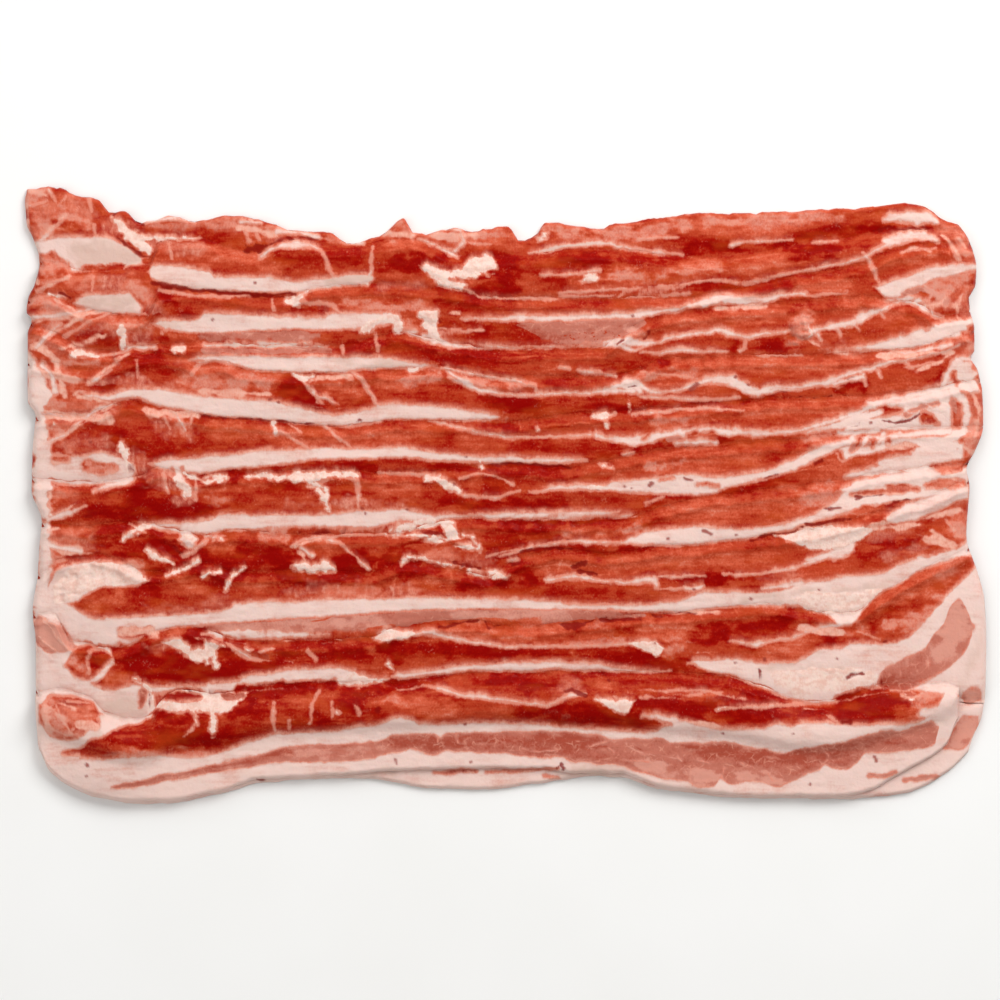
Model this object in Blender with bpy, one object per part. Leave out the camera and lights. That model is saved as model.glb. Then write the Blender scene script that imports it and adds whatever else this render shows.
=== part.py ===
"""Sliced pork belly: raw slices laid in one overlapping row, like shingles.

Units are metres with +Z up. +X runs along the slices and +Y to the back of the row. The origin lies
on the surface that the row rests on, under the middle of its outline.

Every slice is one closed slab. Its upper and lower faces are laid out on one plan of numbered rows:
row N is the back edge of slice N. A slice runs from its own row to two rows further on, so that its
front half lies on the table and its back half on the slice behind it. The slices share the points of
this plan, which keeps the same narrow gap between them everywhere.
"""

import math
import random

import bmesh
import bpy
from mathutils import Vector

# Driving dimensions, in metres.
PLAN_UNIT = 0.000305            # one unit of the plan below
SLICE_GAP = 0.0003              # between a slice and what it lies on
FULL_THICKNESS = 0.0023
BACK_RIM_THICKNESS = 0.0012
FRONT_RIM_THICKNESS = 0.0014
LEAN_CROWN = 0.0004             # how far the band of lean stands proud
END_SWELL = 0.0014              # the thicker, folded left end
WAVE_HEIGHT = 0.00025
EDGE_JITTER = 0.0005

# The plan, in its own units: x grows to the right and y to the front.
INNER_LEFT = 60
INNER_RIGHT = 930
LONG_CELLS = 33                 # cells between the two inner ends
CELLS_PER_ROW = 3
ROWS_PER_SLICE = 2
CORNER_CUT = 15
SWELL_PLACE = 112
SWELL_REACH = 46
RANDOM_SEED = 7

BACK_EDGES = (
    ((60, 189), (100, 200), (120, 213), (150, 219), (250, 221), (300, 231), (350, 241), (400, 229),
     (500, 229), (530, 238), (560, 228), (620, 224), (700, 214), (860, 208), (905, 203), (930, 212)),
    ((60, 262), (100, 267), (140, 262), (160, 242), (200, 239), (250, 254), (290, 241), (360, 245),
     (430, 243), (460, 256), (540, 254), (580, 248), (690, 257), (740, 254), (860, 235), (930, 229)),
    ((60, 297), (100, 311), (140, 316), (158, 286), (260, 297), (290, 297), (320, 286), (400, 284),
     (500, 298), (600, 298), (690, 296), (745, 286), (800, 274), (860, 263), (900, 247), (930, 244)),
    ((60, 335), (90, 348), (150, 346), (200, 341), (340, 345), (400, 333), (440, 342), (500, 349),
     (600, 348), (650, 320), (700, 309), (800, 301), (860, 297), (900, 301), (930, 312)),
    ((60, 365), (100, 368), (140, 355), (180, 356), (250, 371), (340, 374), (400, 369), (440, 368),
     (500, 377), (600, 376), (650, 361), (700, 357), (860, 354), (930, 344)),
    ((60, 414), (90, 413), (130, 401), (180, 412), (340, 426), (400, 420), (500, 421), (560, 415),
     (630, 410), (700, 404), (760, 399), (900, 393), (930, 388)),
    ((60, 481), (120, 479), (160, 467), (200, 476), (260, 471), (430, 472), (480, 466), (560, 466),
     (610, 460), (660, 450), (740, 443), (860, 432), (930, 426)),
    ((60, 523), (130, 522), (180, 530), (290, 534), (390, 533), (430, 524), (460, 518), (620, 519),
     (660, 508), (700, 497), (820, 483), (930, 464)),
    ((60, 560), (100, 556), (150, 573), (200, 563), (240, 571), (340, 570), (400, 562), (490, 575),
     (530, 555), (600, 553), (700, 543), (800, 531), (860, 513), (930, 496)),
    ((60, 630), (90, 642), (115, 646), (155, 632), (190, 627), (240, 638), (340, 638), (440, 621),
     (560, 623), (640, 614), (770, 603), (830, 612), (870, 600), (910, 575), (930, 565)),
    ((60, 688), (90, 695), (120, 715), (150, 714), (180, 689), (250, 688), (340, 682), (500, 671),
     (700, 673), (740, 677), (800, 698), (840, 697), (880, 684), (930, 683)),
)
FRONT_EDGE = (
    (60, 778), (100, 794), (170, 799), (230, 788), (300, 777), (400, 771), (540, 769), (600, 772),
    (640, 779), (700, 791), (800, 796), (860, 793), (900, 772), (930, 760),
)
UNDER_SLICE_FRONT_EDGE = (
    (60, 783), (100, 798), (170, 803), (230, 792), (300, 781), (350, 779), (430, 788), (500, 788),
    (560, 780), (600, 776), (640, 783), (700, 794), (800, 800), (860, 799), (900, 796), (930, 786),
)
LEFT_ENDS = (24, 36, 27, 28, 28, 34, 32, 40, 34, 36, 40)
RIGHT_ENDS = (952, 968, 974, 972, 974, 978, 974, 966, 968, 970, 956)
UNDER_SLICE_ENDS = (46, 980)

LEAN_COLOURS = ((0.56, 0.13, 0.08), (0.60, 0.16, 0.10), (0.52, 0.10, 0.06))
MEAT_ROUGHNESS = 0.42

FRONT_ROW = len(BACK_EDGES) + 1     # the front edge of the slice on top
UNDER_FRONT_ROW = FRONT_ROW + 1


def clear_scene():
    for old in list(bpy.data.objects):
        bpy.data.objects.remove(old, do_unlink=True)


def along(points, x):
    """The y of a line of points at x, level beyond its two ends."""
    if x <= points[0][0]:
        return points[0][1]
    for (x0, y0), (x1, y1) in zip(points, points[1:]):
        if x <= x1:
            return y0 + (y1 - y0) * (x - x0) / (x1 - x0)
    return points[-1][1]


def edge_line(row):
    """The line of a whole row: the back edges first, then what lies in front of the last one."""
    if row < len(BACK_EDGES):
        return BACK_EDGES[row]
    if row == FRONT_ROW:
        return FRONT_EDGE
    return UNDER_SLICE_FRONT_EDGE


def edge_y(row, x):
    if row == len(BACK_EDGES):
        return (along(BACK_EDGES[-1], x) + along(FRONT_EDGE, x)) / 2
    return along(edge_line(row), x)


def station_x(column):
    return INNER_LEFT + (INNER_RIGHT - INNER_LEFT) * (column - 1) / LONG_CELLS


def jitter_table():
    """A small seeded step of each edge at each station, so that no edge is ruled."""
    draw = random.Random(RANDOM_SEED)
    step = EDGE_JITTER / PLAN_UNIT
    return [
        [draw.uniform(-step, step) for _ in range(LONG_CELLS + 2)]
        for _ in range(UNDER_FRONT_ROW + 1)
    ]


JITTER = jitter_table()


def ragged_y(row, column):
    """The row's y at a station. The cells at both ends are level, so their jitter is left out."""
    level = column <= 1 or column >= LONG_CELLS + 1 or row in (0, UNDER_FRONT_ROW)
    x = min(max(station_x(column), INNER_LEFT), INNER_RIGHT)
    return edge_y(row, x) + (0 if level else JITTER[row][column])


def plan_y(step, column):
    """The y of a step of the plan: CELLS_PER_ROW steps lie between one row and the next."""
    row, part = divmod(step, CELLS_PER_ROW)
    if part == 0:
        return ragged_y(row, column)
    share = part / CELLS_PER_ROW
    return ragged_y(row, column) * (1 - share) + ragged_y(row + 1, column) * share


def end_x(column, share, ends):
    """The x of a station, where the two outermost follow the slice's own rounded ends."""
    cut = CORNER_CUT * abs(2 * share - 1) ** 4
    if column == 0:
        return ends[0] + cut
    if column == LONG_CELLS + 2:
        return ends[1] - cut
    return station_x(column)


def thickness(x, share, number):
    """Thick in the lean behind the middle, thin at both rims, swollen at the folded left end."""
    back = min(1, share / 0.17)
    front = min(1, (1 - share) / 0.17)
    full = FULL_THICKNESS + LEAN_CROWN * math.exp(-(((share - 0.3) / 0.14) ** 2))
    height = BACK_RIM_THICKNESS + (full - BACK_RIM_THICKNESS) * math.sin(back * math.pi / 2)
    height = FRONT_RIM_THICKNESS + (height - FRONT_RIM_THICKNESS) * math.sin(front * math.pi / 2)
    swell = END_SWELL * math.exp(-(((x - SWELL_PLACE) / SWELL_REACH) ** 2)) * math.sin(math.pi * share)
    wave = WAVE_HEIGHT * math.sin(x / 37 + 2.1 * number) * math.sin(math.pi * share)
    return height + swell + wave


def meat_material(name, colour):
    material = bpy.data.materials.new(name)
    material.use_nodes = True
    shader = material.node_tree.nodes["Principled BSDF"]
    shader.inputs["Base Color"].default_value = (*colour, 1)
    shader.inputs["Roughness"].default_value = MEAT_ROUGHNESS
    shader.inputs["Metallic"].default_value = 0
    material.diffuse_color = (*colour, 1)
    return material


def slab(name, first_step, last_step, ends, number, support):
    """One slice as a closed slab on the plan, laid on what `support` holds and then added to it.

    `support` maps a step and a column of the plan to the height of the meat that lies there.
    """
    rows = last_step - first_step
    columns = LONG_CELLS + 2
    mesh = bmesh.new()
    bmesh.ops.create_grid(mesh, x_segments=columns, y_segments=rows, size=1)
    bmesh.ops.triangulate(mesh, faces=mesh.faces[:], quad_method="FIXED")
    places = {
        vertex: (
            round((vertex.co.x + 1) / 2 * columns),
            first_step + round((1 - vertex.co.y) / 2 * rows),
        )
        for vertex in mesh.verts
    }
    lower = {vertex: places[vertex] for vertex in mesh.verts}
    for vertex in mesh.verts:
        vertex.co.z = 0
    made = bmesh.ops.extrude_face_region(mesh, geom=mesh.faces[:])["geom"]
    upper = [item for item in made if isinstance(item, bmesh.types.BMVert)]
    flat_place = {(round(v.co.x, 5), round(v.co.y, 5)): place for v, place in lower.items()}
    raised = {vertex: flat_place[(round(vertex.co.x, 5), round(vertex.co.y, 5))] for vertex in upper}

    base = {
        place: support[place] + SLICE_GAP if place in support else 0
        for place in lower.values()
    }
    for vertices, is_top in ((lower, False), (raised, True)):
        for vertex, (column, step) in vertices.items():
            share = (step - first_step) / rows
            x = end_x(column, share, ends)
            inner_x = min(max(x, INNER_LEFT), INNER_RIGHT)
            height = base[(column, step)]
            if is_top:
                height += thickness(inner_x, share, number)
                support[(column, step)] = height
            vertex.co = (x * PLAN_UNIT, -plan_y(step, column) * PLAN_UNIT, height)
    bmesh.ops.recalc_face_normals(mesh, faces=mesh.faces[:])
    data = bpy.data.meshes.new(name)
    mesh.to_mesh(data)
    mesh.free()
    data.shade_smooth()
    piece = bpy.data.objects.new(name, data)
    data.materials.append(meat_material(name + "_meat", LEAN_COLOURS[number % len(LEAN_COLOURS)]))
    return piece


def lay_slices():
    """The slices from the back to the front. The one that peeks out in front goes under the last two."""
    support = {}
    count = len(BACK_EDGES)
    pieces = []
    for number in range(count):
        if number == count - 2:
            first = (count - 1) * CELLS_PER_ROW + 1
            last = UNDER_FRONT_ROW * CELLS_PER_ROW
            name = f"slice_{count + 1:02d}"
            pieces.append(slab(name, first, last, UNDER_SLICE_ENDS, count, support))
        first = number * CELLS_PER_ROW
        last = first + ROWS_PER_SLICE * CELLS_PER_ROW
        ends = (LEFT_ENDS[number], RIGHT_ENDS[number])
        pieces.append(slab(f"slice_{number + 1:02d}", first, last, ends, number, support))
    return pieces


def centre_on_origin(pieces):
    """Moves the outline's middle over the origin."""
    corners = [vertex.co for piece in pieces for vertex in piece.data.vertices]
    middle_x = (min(c.x for c in corners) + max(c.x for c in corners)) / 2
    middle_y = (min(c.y for c in corners) + max(c.y for c in corners)) / 2
    shift = Vector((-middle_x, -middle_y, 0))
    for piece in pieces:
        for vertex in piece.data.vertices:
            vertex.co += shift


def main():
    clear_scene()
    collection = bpy.data.collections.new("sliced_pork_belly")
    bpy.context.scene.collection.children.link(collection)
    pieces = lay_slices()
    centre_on_origin(pieces)
    for piece in sorted(pieces, key=lambda item: item.name):
        collection.objects.link(piece)


main()
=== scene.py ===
"""The looks of the sliced pork belly: every slice as a dense slab with its own lean, fat and tissue.

The pattern of lean and fat is drawn once, on a plan of the whole row seen from above, and each slice
takes what shows of it. Under the next slice the pattern goes on by a rule. The plan's unit is 0.305 mm;
its x grows to the right and its y to the front. Heights and lengths elsewhere are in metres.
"""

import math

import bpy
import numpy as np
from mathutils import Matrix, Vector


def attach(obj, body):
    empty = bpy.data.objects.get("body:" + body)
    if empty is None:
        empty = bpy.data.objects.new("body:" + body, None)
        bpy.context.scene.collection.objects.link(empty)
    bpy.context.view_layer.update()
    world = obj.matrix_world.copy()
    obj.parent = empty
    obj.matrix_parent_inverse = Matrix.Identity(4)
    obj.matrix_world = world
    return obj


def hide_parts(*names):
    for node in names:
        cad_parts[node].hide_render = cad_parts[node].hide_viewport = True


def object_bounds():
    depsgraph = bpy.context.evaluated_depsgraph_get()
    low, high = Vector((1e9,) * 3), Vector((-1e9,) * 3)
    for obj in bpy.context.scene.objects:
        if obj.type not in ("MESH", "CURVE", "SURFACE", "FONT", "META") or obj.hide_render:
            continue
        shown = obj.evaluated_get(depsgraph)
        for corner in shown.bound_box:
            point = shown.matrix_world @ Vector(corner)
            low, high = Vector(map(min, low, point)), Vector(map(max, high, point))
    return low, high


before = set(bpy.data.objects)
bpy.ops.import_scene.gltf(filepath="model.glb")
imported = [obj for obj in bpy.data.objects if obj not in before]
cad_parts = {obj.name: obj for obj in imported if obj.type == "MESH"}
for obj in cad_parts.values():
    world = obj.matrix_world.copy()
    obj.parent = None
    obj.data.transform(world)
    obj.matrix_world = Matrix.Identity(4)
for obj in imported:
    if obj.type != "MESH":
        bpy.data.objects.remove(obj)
CAD_LOW, CAD_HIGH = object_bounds()

# ---------------------------------------------------------------- the plan
PLAN_UNIT = 0.000305
PLAN_LEFT = 24                  # the outline's left end, which lies at the frame's lowest x
PLAN_BACK = 189                 # the outline's back edge, which lies at the frame's highest y
PLAN_LENGTH = 940               # about how long a slice is
RASTER = 2                      # samples a plan unit
RASTER_ORIGIN = (0, 170)
RASTER_SIZE = (1010, 660)
MM = 0.001

# The back edge of each slice, from slice_01 to slice_11.
BACK_EDGES = (
    ((20, 204), (27, 190), (60, 188), (75, 196), (98, 200), (112, 214), (124, 211), (140, 222),
     (170, 217), (200, 222), (230, 216), (262, 221), (290, 230), (330, 234), (350, 243), (372, 238),
     (385, 232), (403, 219), (413, 234), (440, 231), (456, 228), (470, 232), (508, 227), (520, 241),
     (535, 235), (545, 223), (600, 229), (620, 224), (700, 214), (740, 213), (800, 211), (860, 208),
     (888, 206), (905, 202), (922, 206), (950, 220)),
    ((30, 262), (60, 262), (75, 269), (100, 268), (140, 262), (150, 258), (160, 243), (200, 238),
     (225, 247), (256, 254), (275, 244), (300, 240), (318, 243), (335, 246), (370, 244), (400, 239),
     (430, 243), (460, 256), (540, 254), (580, 248), (640, 252), (690, 257), (740, 254), (790, 246),
     (860, 235), (900, 229), (950, 229)),
    ((26, 300), (50, 294), (75, 304), (100, 311), (132, 316), (146, 312), (162, 291), (200, 289),
     (260, 297), (290, 298), (306, 291), (330, 286), (400, 284), (440, 288), (500, 298), (600, 298),
     (690, 296), (745, 286), (800, 275), (860, 264), (900, 247), (950, 243)),
    ((28, 322), (60, 335), (80, 347), (110, 350), (150, 346), (200, 341), (260, 346), (340, 345),
     (370, 338), (400, 332), (440, 342), (500, 349), (600, 348), (625, 330), (660, 317), (700, 309),
     (800, 301), (860, 297), (890, 300), (915, 303), (940, 316), (970, 312)),
    ((28, 362), (100, 368), (130, 358), (150, 353), (180, 357), (200, 365), (225, 362), (250, 371),
     (340, 374), (360, 369), (400, 369), (440, 367), (500, 377), (600, 376), (640, 370), (660, 360),
     (700, 357), (800, 355), (860, 354), (900, 349), (940, 341), (970, 330)),
    ((30, 415), (60, 414), (90, 413), (130, 400), (160, 407), (180, 412), (210, 417), (260, 420),
     (300, 424), (340, 426), (400, 420), (500, 421), (560, 415), (600, 412), (630, 411), (700, 404),
     (760, 399), (860, 396), (900, 393), (945, 386), (975, 380)),
    ((32, 480), (60, 481), (95, 482), (120, 480), (142, 476), (158, 466), (200, 476), (215, 473),
     (260, 471), (340, 469), (375, 472), (430, 472), (460, 467), (500, 465), (566, 467), (610, 460),
     (660, 450), (700, 447), (740, 443), (800, 438), (860, 432), (900, 428), (970, 425)),
    ((38, 522), (60, 524), (90, 525), (130, 522), (180, 530), (200, 534), (240, 531), (290, 534),
     (390, 533), (430, 524), (460, 518), (560, 521), (612, 520), (660, 508), (700, 497), (760, 490),
     (820, 483), (870, 475), (930, 466), (970, 462)),
    ((38, 575), (60, 560), (100, 555), (120, 560), (150, 572), (180, 568), (200, 562), (240, 571),
     (290, 571), (340, 570), (370, 572), (400, 562), (440, 565), (460, 569), (490, 576), (510, 560),
     (530, 553), (560, 549), (600, 554), (640, 548), (700, 543), (760, 537), (800, 531), (850, 520),
     (880, 510), (930, 496), (970, 480)),
    ((32, 612), (55, 612), (70, 638), (90, 643), (115, 647), (140, 640), (155, 632), (190, 626),
     (240, 638), (290, 641), (340, 638), (375, 636), (390, 629), (440, 621), (475, 620), (500, 624),
     (560, 622), (640, 614), (700, 610), (740, 606), (770, 603), (800, 608), (830, 612), (850, 612),
     (880, 594), (910, 574), (935, 563), (970, 548)),
    ((36, 690), (60, 689), (90, 696), (110, 712), (135, 718), (150, 714), (162, 700), (180, 689),
     (220, 692), (250, 688), (280, 684), (340, 682), (400, 681), (460, 674), (500, 671), (600, 671),
     (700, 673), (730, 675), (765, 687), (797, 698), (820, 700), (860, 691), (880, 684), (945, 682),
     (970, 690)),
)
FRONT_EDGE = (
    (36, 742), (50, 768), (80, 789), (100, 796), (140, 801), (170, 800), (200, 795), (230, 788),
    (260, 779), (300, 777), (350, 774), (400, 770), (540, 768), (575, 773), (620, 773), (640, 779),
    (660, 786), (700, 791), (740, 795), (840, 796), (870, 790), (900, 773), (930, 757), (945, 745),
    (960, 715),
)
UNDER_SLICE_FRONT_EDGE = (
    (36, 746), (50, 771), (80, 791), (100, 798), (140, 804), (170, 803), (200, 798), (230, 791),
    (260, 783), (300, 780), (350, 778), (390, 781), (430, 788), (490, 789), (520, 786), (560, 780),
    (600, 776), (620, 777), (640, 783), (660, 789), (700, 794), (740, 798), (840, 799), (900, 794),
    (925, 786), (950, 770), (985, 740),
)
LEFT_OUTLINE = (
    (190, 27), (200, 25), (214, 26), (225, 27), (238, 33), (262, 40), (285, 35), (300, 28), (312, 27),
    (320, 32), (335, 28), (365, 28), (400, 28), (415, 36), (450, 33), (490, 32), (520, 42), (545, 40),
    (575, 38), (612, 33), (640, 36), (700, 36), (740, 38), (800, 42),
)
RIGHT_OUTLINE = (
    (202, 910), (212, 938), (222, 953), (232, 964), (250, 972), (268, 976), (285, 975), (300, 968),
    (312, 970), (330, 974), (350, 974), (358, 970), (370, 977), (395, 982), (425, 983), (450, 975),
    (470, 966), (485, 969), (535, 966), (575, 978), (600, 984), (640, 986), (690, 985), (720, 981),
    (750, 970), (800, 960),
)
TOP_SLICE_RIGHT_END = 958
SLICES = len(BACK_EDGES)
FRONT_ROW = SLICES + 1
UNDER_FRONT_ROW = FRONT_ROW + 1
UNDER_SLICE_FIRST_ROW = SLICES - 1 + 1 / 3
RAG_CELLS = (3, 7, 17)          # plan units between the steps of an edge's raggedness
BACK_RAGS = (0.5, 1.0, 1.1)     # and how far they reach
FRONT_RAGS = (0.2, 0.4, 0.6)
FIELDS = ("fat", "pale", "tone", "chalk", "gap", "dim", "speck", "mottle", "veil")


def raster_axes():
    x = RASTER_ORIGIN[0] + np.arange(RASTER_SIZE[0] * RASTER) / RASTER
    y = RASTER_ORIGIN[1] + np.arange(RASTER_SIZE[1] * RASTER) / RASTER
    return x, y


XS, YS = raster_axes()
SHAPE = (len(YS), len(XS))


def eased(value):
    """0 below 0, 1 above 1, smooth between them."""
    value = np.clip(value, 0, 1)
    return value * value * (3 - 2 * value)


def smooth_line(points, at):
    """A smooth curve through points of (place, value), without overshoot."""
    places = np.array([p[0] for p in points], float)
    values = np.array([p[1] for p in points], float)
    steps = np.diff(places)
    slopes = np.diff(values) / steps
    tangents = np.zeros(len(places))
    same = slopes[:-1] * slopes[1:] > 0
    both = np.where(same, slopes[:-1] + slopes[1:], 1)
    tangents[1:-1] = np.where(same, 2 * slopes[:-1] * slopes[1:] / both, 0)
    at = np.clip(at, places[0], places[-1])
    index = np.clip(np.searchsorted(places, at) - 1, 0, len(steps) - 1)
    share = (at - places[index]) / steps[index]
    square, cube = share**2, share**3
    return (
        (2 * cube - 3 * square + 1) * values[index]
        + (cube - 2 * square + share) * steps[index] * tangents[index]
        + (3 * square - 2 * cube) * values[index + 1]
        + (cube - square) * steps[index] * tangents[index + 1]
    )


def value_noise(cell_x, cell_y, seed):
    """Smooth noise from -1 to 1 over the whole raster, with cells of that many plan units."""
    draw = np.random.default_rng(seed)
    columns = int(RASTER_SIZE[0] / cell_x) + 3
    rows = int(RASTER_SIZE[1] / cell_y) + 3
    grid = draw.uniform(-1, 1, (rows, columns))
    u = (XS - RASTER_ORIGIN[0]) / cell_x
    v = (YS - RASTER_ORIGIN[1]) / cell_y
    i, j = u.astype(int), v.astype(int)
    fu, fv = u - i, v - j
    fu, fv = fu * fu * (3 - 2 * fu), fv * fv * (3 - 2 * fv)
    upper = grid[j][:, i] * (1 - fu) + grid[j][:, i + 1] * fu
    lower = grid[j + 1][:, i] * (1 - fu) + grid[j + 1][:, i + 1] * fu
    return upper * (1 - fv)[:, None] + lower * fv[:, None]


def layered_noise(*layers):
    """The sum of noises, each given as (strength, cell width, cell height, seed)."""
    return sum(strength * value_noise(*cells) for strength, *cells in layers)


def line_noise(seed, heights):
    """A ragged step along x, in plan units."""
    total = np.zeros(len(XS))
    for number, (cell, height) in enumerate(zip(RAG_CELLS, heights)):
        draw = np.random.default_rng(seed * 10 + number)
        values = draw.uniform(-1, 1, int(RASTER_SIZE[0] / cell) + 3)
        u = (XS - RASTER_ORIGIN[0]) / cell
        i = u.astype(int)
        f = u - i
        f = f * f * (3 - 2 * f)
        total += height * (values[i] * (1 - f) + values[i + 1] * f)
    return total


def row_lines():
    """The y of every whole row at every raster column."""
    lines = [smooth_line(edge, XS) for edge in BACK_EDGES]
    front = smooth_line(FRONT_EDGE, XS)
    lines.append((lines[-1] + front) / 2)
    lines.append(front)
    lines.append(np.maximum(smooth_line(UNDER_SLICE_FRONT_EDGE, XS), front + 1))
    for number in range(SLICES):
        lines[number] = lines[number] + line_noise(number + 1, BACK_RAGS)
    for number in (FRONT_ROW, UNDER_FRONT_ROW):
        lines[number] = lines[number] + line_noise(number + 1, FRONT_RAGS)
    return np.array(lines)


LINES = row_lines()


def line_at(row):
    """The y of a row, which may lie between two whole ones."""
    whole = int(row)
    share = row - whole
    if share == 0:
        return LINES[whole]
    return LINES[whole] * (1 - share) + LINES[whole + 1] * share


def sample_line(line, x):
    return np.interp(x, XS, line)


def blurred(field, reach):
    """A box blur of that many samples each way, made twice."""
    width = 2 * reach + 1
    for _ in range(2):
        for axis in (0, 1):
            padding = [(0, 0), (0, 0)]
            padding[axis] = (reach + 1, reach)
            total = np.cumsum(np.pad(field, padding, mode="edge"), axis=axis)
            ahead = np.take(total, range(width, total.shape[axis]), axis=axis)
            behind = np.take(total, range(0, total.shape[axis] - width), axis=axis)
            field = (ahead - behind) / width
    return field


def swollen(field, reach):
    """The highest value within that many samples each way."""
    for axis in (0, 1):
        best = field.copy()
        for shift in range(1, reach + 1):
            for sign in (-1, 1):
                best = np.maximum(best, np.roll(field, sign * shift, axis=axis))
        field = best
    return field


# ---------------------------------------------------------------- drawing on the plan
# A mark is (half width, points) for a stroke, where a point may bring its own half width, or
# (upper line, lower line) for an area. Marks of one kind that are drawn together stand together:
#   fat, film, chalk, tatter    white tissue: smooth, thin, matt and torn, or a raised scrap
#   lean, pale                  red meat cut out of the white, and the pale second lean
#   deep, dark, mid, bright     soft tones of the lean
#   salmon, dim                 lean mixed with fat, and shaded fat
#   gap, speck, mottle          painted shade in a crevice, a dark dot, and fat speckled with lean
#   lump, dent                  a mound and a hollow
#   vein, shade                 a thin pale streak and a dark one in the lean
#   veil, haze, comb            pale tissue that the lean shines through: thick, thin, or in fibres
#                               that run across the slice
FAR_FROM_FAT = -6.0
FAR_OUTSIDE = -99.0
MARK_REACH = 9                  # plan units around its points that a mark is worked out in
STROKE_UNEVENNESS = 0.45
BORDER = 1.5                    # plan units over which one tissue turns into another
THIN_SHARE = 0.78
FILM_SHARE = 0.85
FULL_WIDTH = 5                  # the half width from which white tissue is drawn as it is given
VEIL_THINNING = 0.6
RAGGED = {"chalk": 1.5, "film": 0.5, "gap": 0.9, "tatter": 0.8}     # plan units of torn edge
END_ROUNDING = 12
OPEN_LEFT, OPEN_RIGHT = 60, 940         # an area that ends beyond these runs out over the slice's end
MATTNESS = {"fat": 0, "film": 0.3, "chalk": 1, "tatter": 0.6}
CHALK_RISE, CHALK_UNEVENNESS, CHALK_SLOPE = 0.16, 0.1, 2.5
FILM_RISE = 0.12
TATTER_RISE, TATTER_SLOPE, TATTER_START = 0.8, 1.6, 0.3
DARK_BORDERS = {"gap": (2.5, 0.6), "speck": (1, 0.7), "mottle": (2, 0.5)}   # softness, strength at the edge
GAP_DEPTH, GAP_SLOPE = 0.1, 2
TONES = {"deep": -1.6, "dark": -0.8, "mid": 0.1, "bright": 0.9, "salmon": 1.4}
TONE_COVER = 0.95
SALMON_PALENESS = 0.45
STREAKINESS = {"vein": 1.0, "shade": -0.7}
VEILS = {"veil": 0.85, "haze": 0.38}
COMB_VEIL, COMB_CONTRAST = 0.4, 0.4
MOUNDS = {"lump": 0.9, "dent": -0.7}
SOFT_REACH = {"deep": 8, "dark": 8, "mid": 8, "bright": 8, "salmon": 7, "dim": 6, "lump": 6, "dent": 4,
              "vein": 0.8, "shade": 1.2, "veil": 2.4, "haze": 8, "comb": 6}
SOFT_WANDER_REACH = 5           # a mark this soft wanders by SOFT_WANDER, and a softer one by more,
MOST_WANDER = 1.4               # up to this many times as much
# How far, in plan units, the drawing wanders from its marks, and how uneven and torn it is.
WANDER_X = layered_noise((1.5, 13, 9, 51), (0.6, 5, 4, 52))
WANDER_Y = layered_noise((1.0, 15, 9, 55), (0.8, 5, 4, 56))
SOFT_WANDER = layered_noise((4.5, 12, 6, 53), (2.2, 4, 3, 54))
UNEVEN = layered_noise((0.7, 9, 6, 57), (0.5, 3.5, 3, 58))
FIBRES = layered_noise((1.0, 2.8, 13, 64), (0.4, 7, 12, 65))
TORN = layered_noise((0.9, 5, 3.5, 62), (0.7, 2.4, 1.8, 63))


def slimmed(kind, width):
    """The half width that a thin stroke of white tissue is drawn with; its soft border adds the rest."""
    if kind == "veil":
        return VEIL_THINNING * width
    if kind not in ("fat", "film", "chalk"):
        return width
    share = FILM_SHARE if kind == "film" else 1
    return share * width * (THIN_SHARE + (1 - THIN_SHARE) * min(1, width / FULL_WIDTH))


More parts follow.
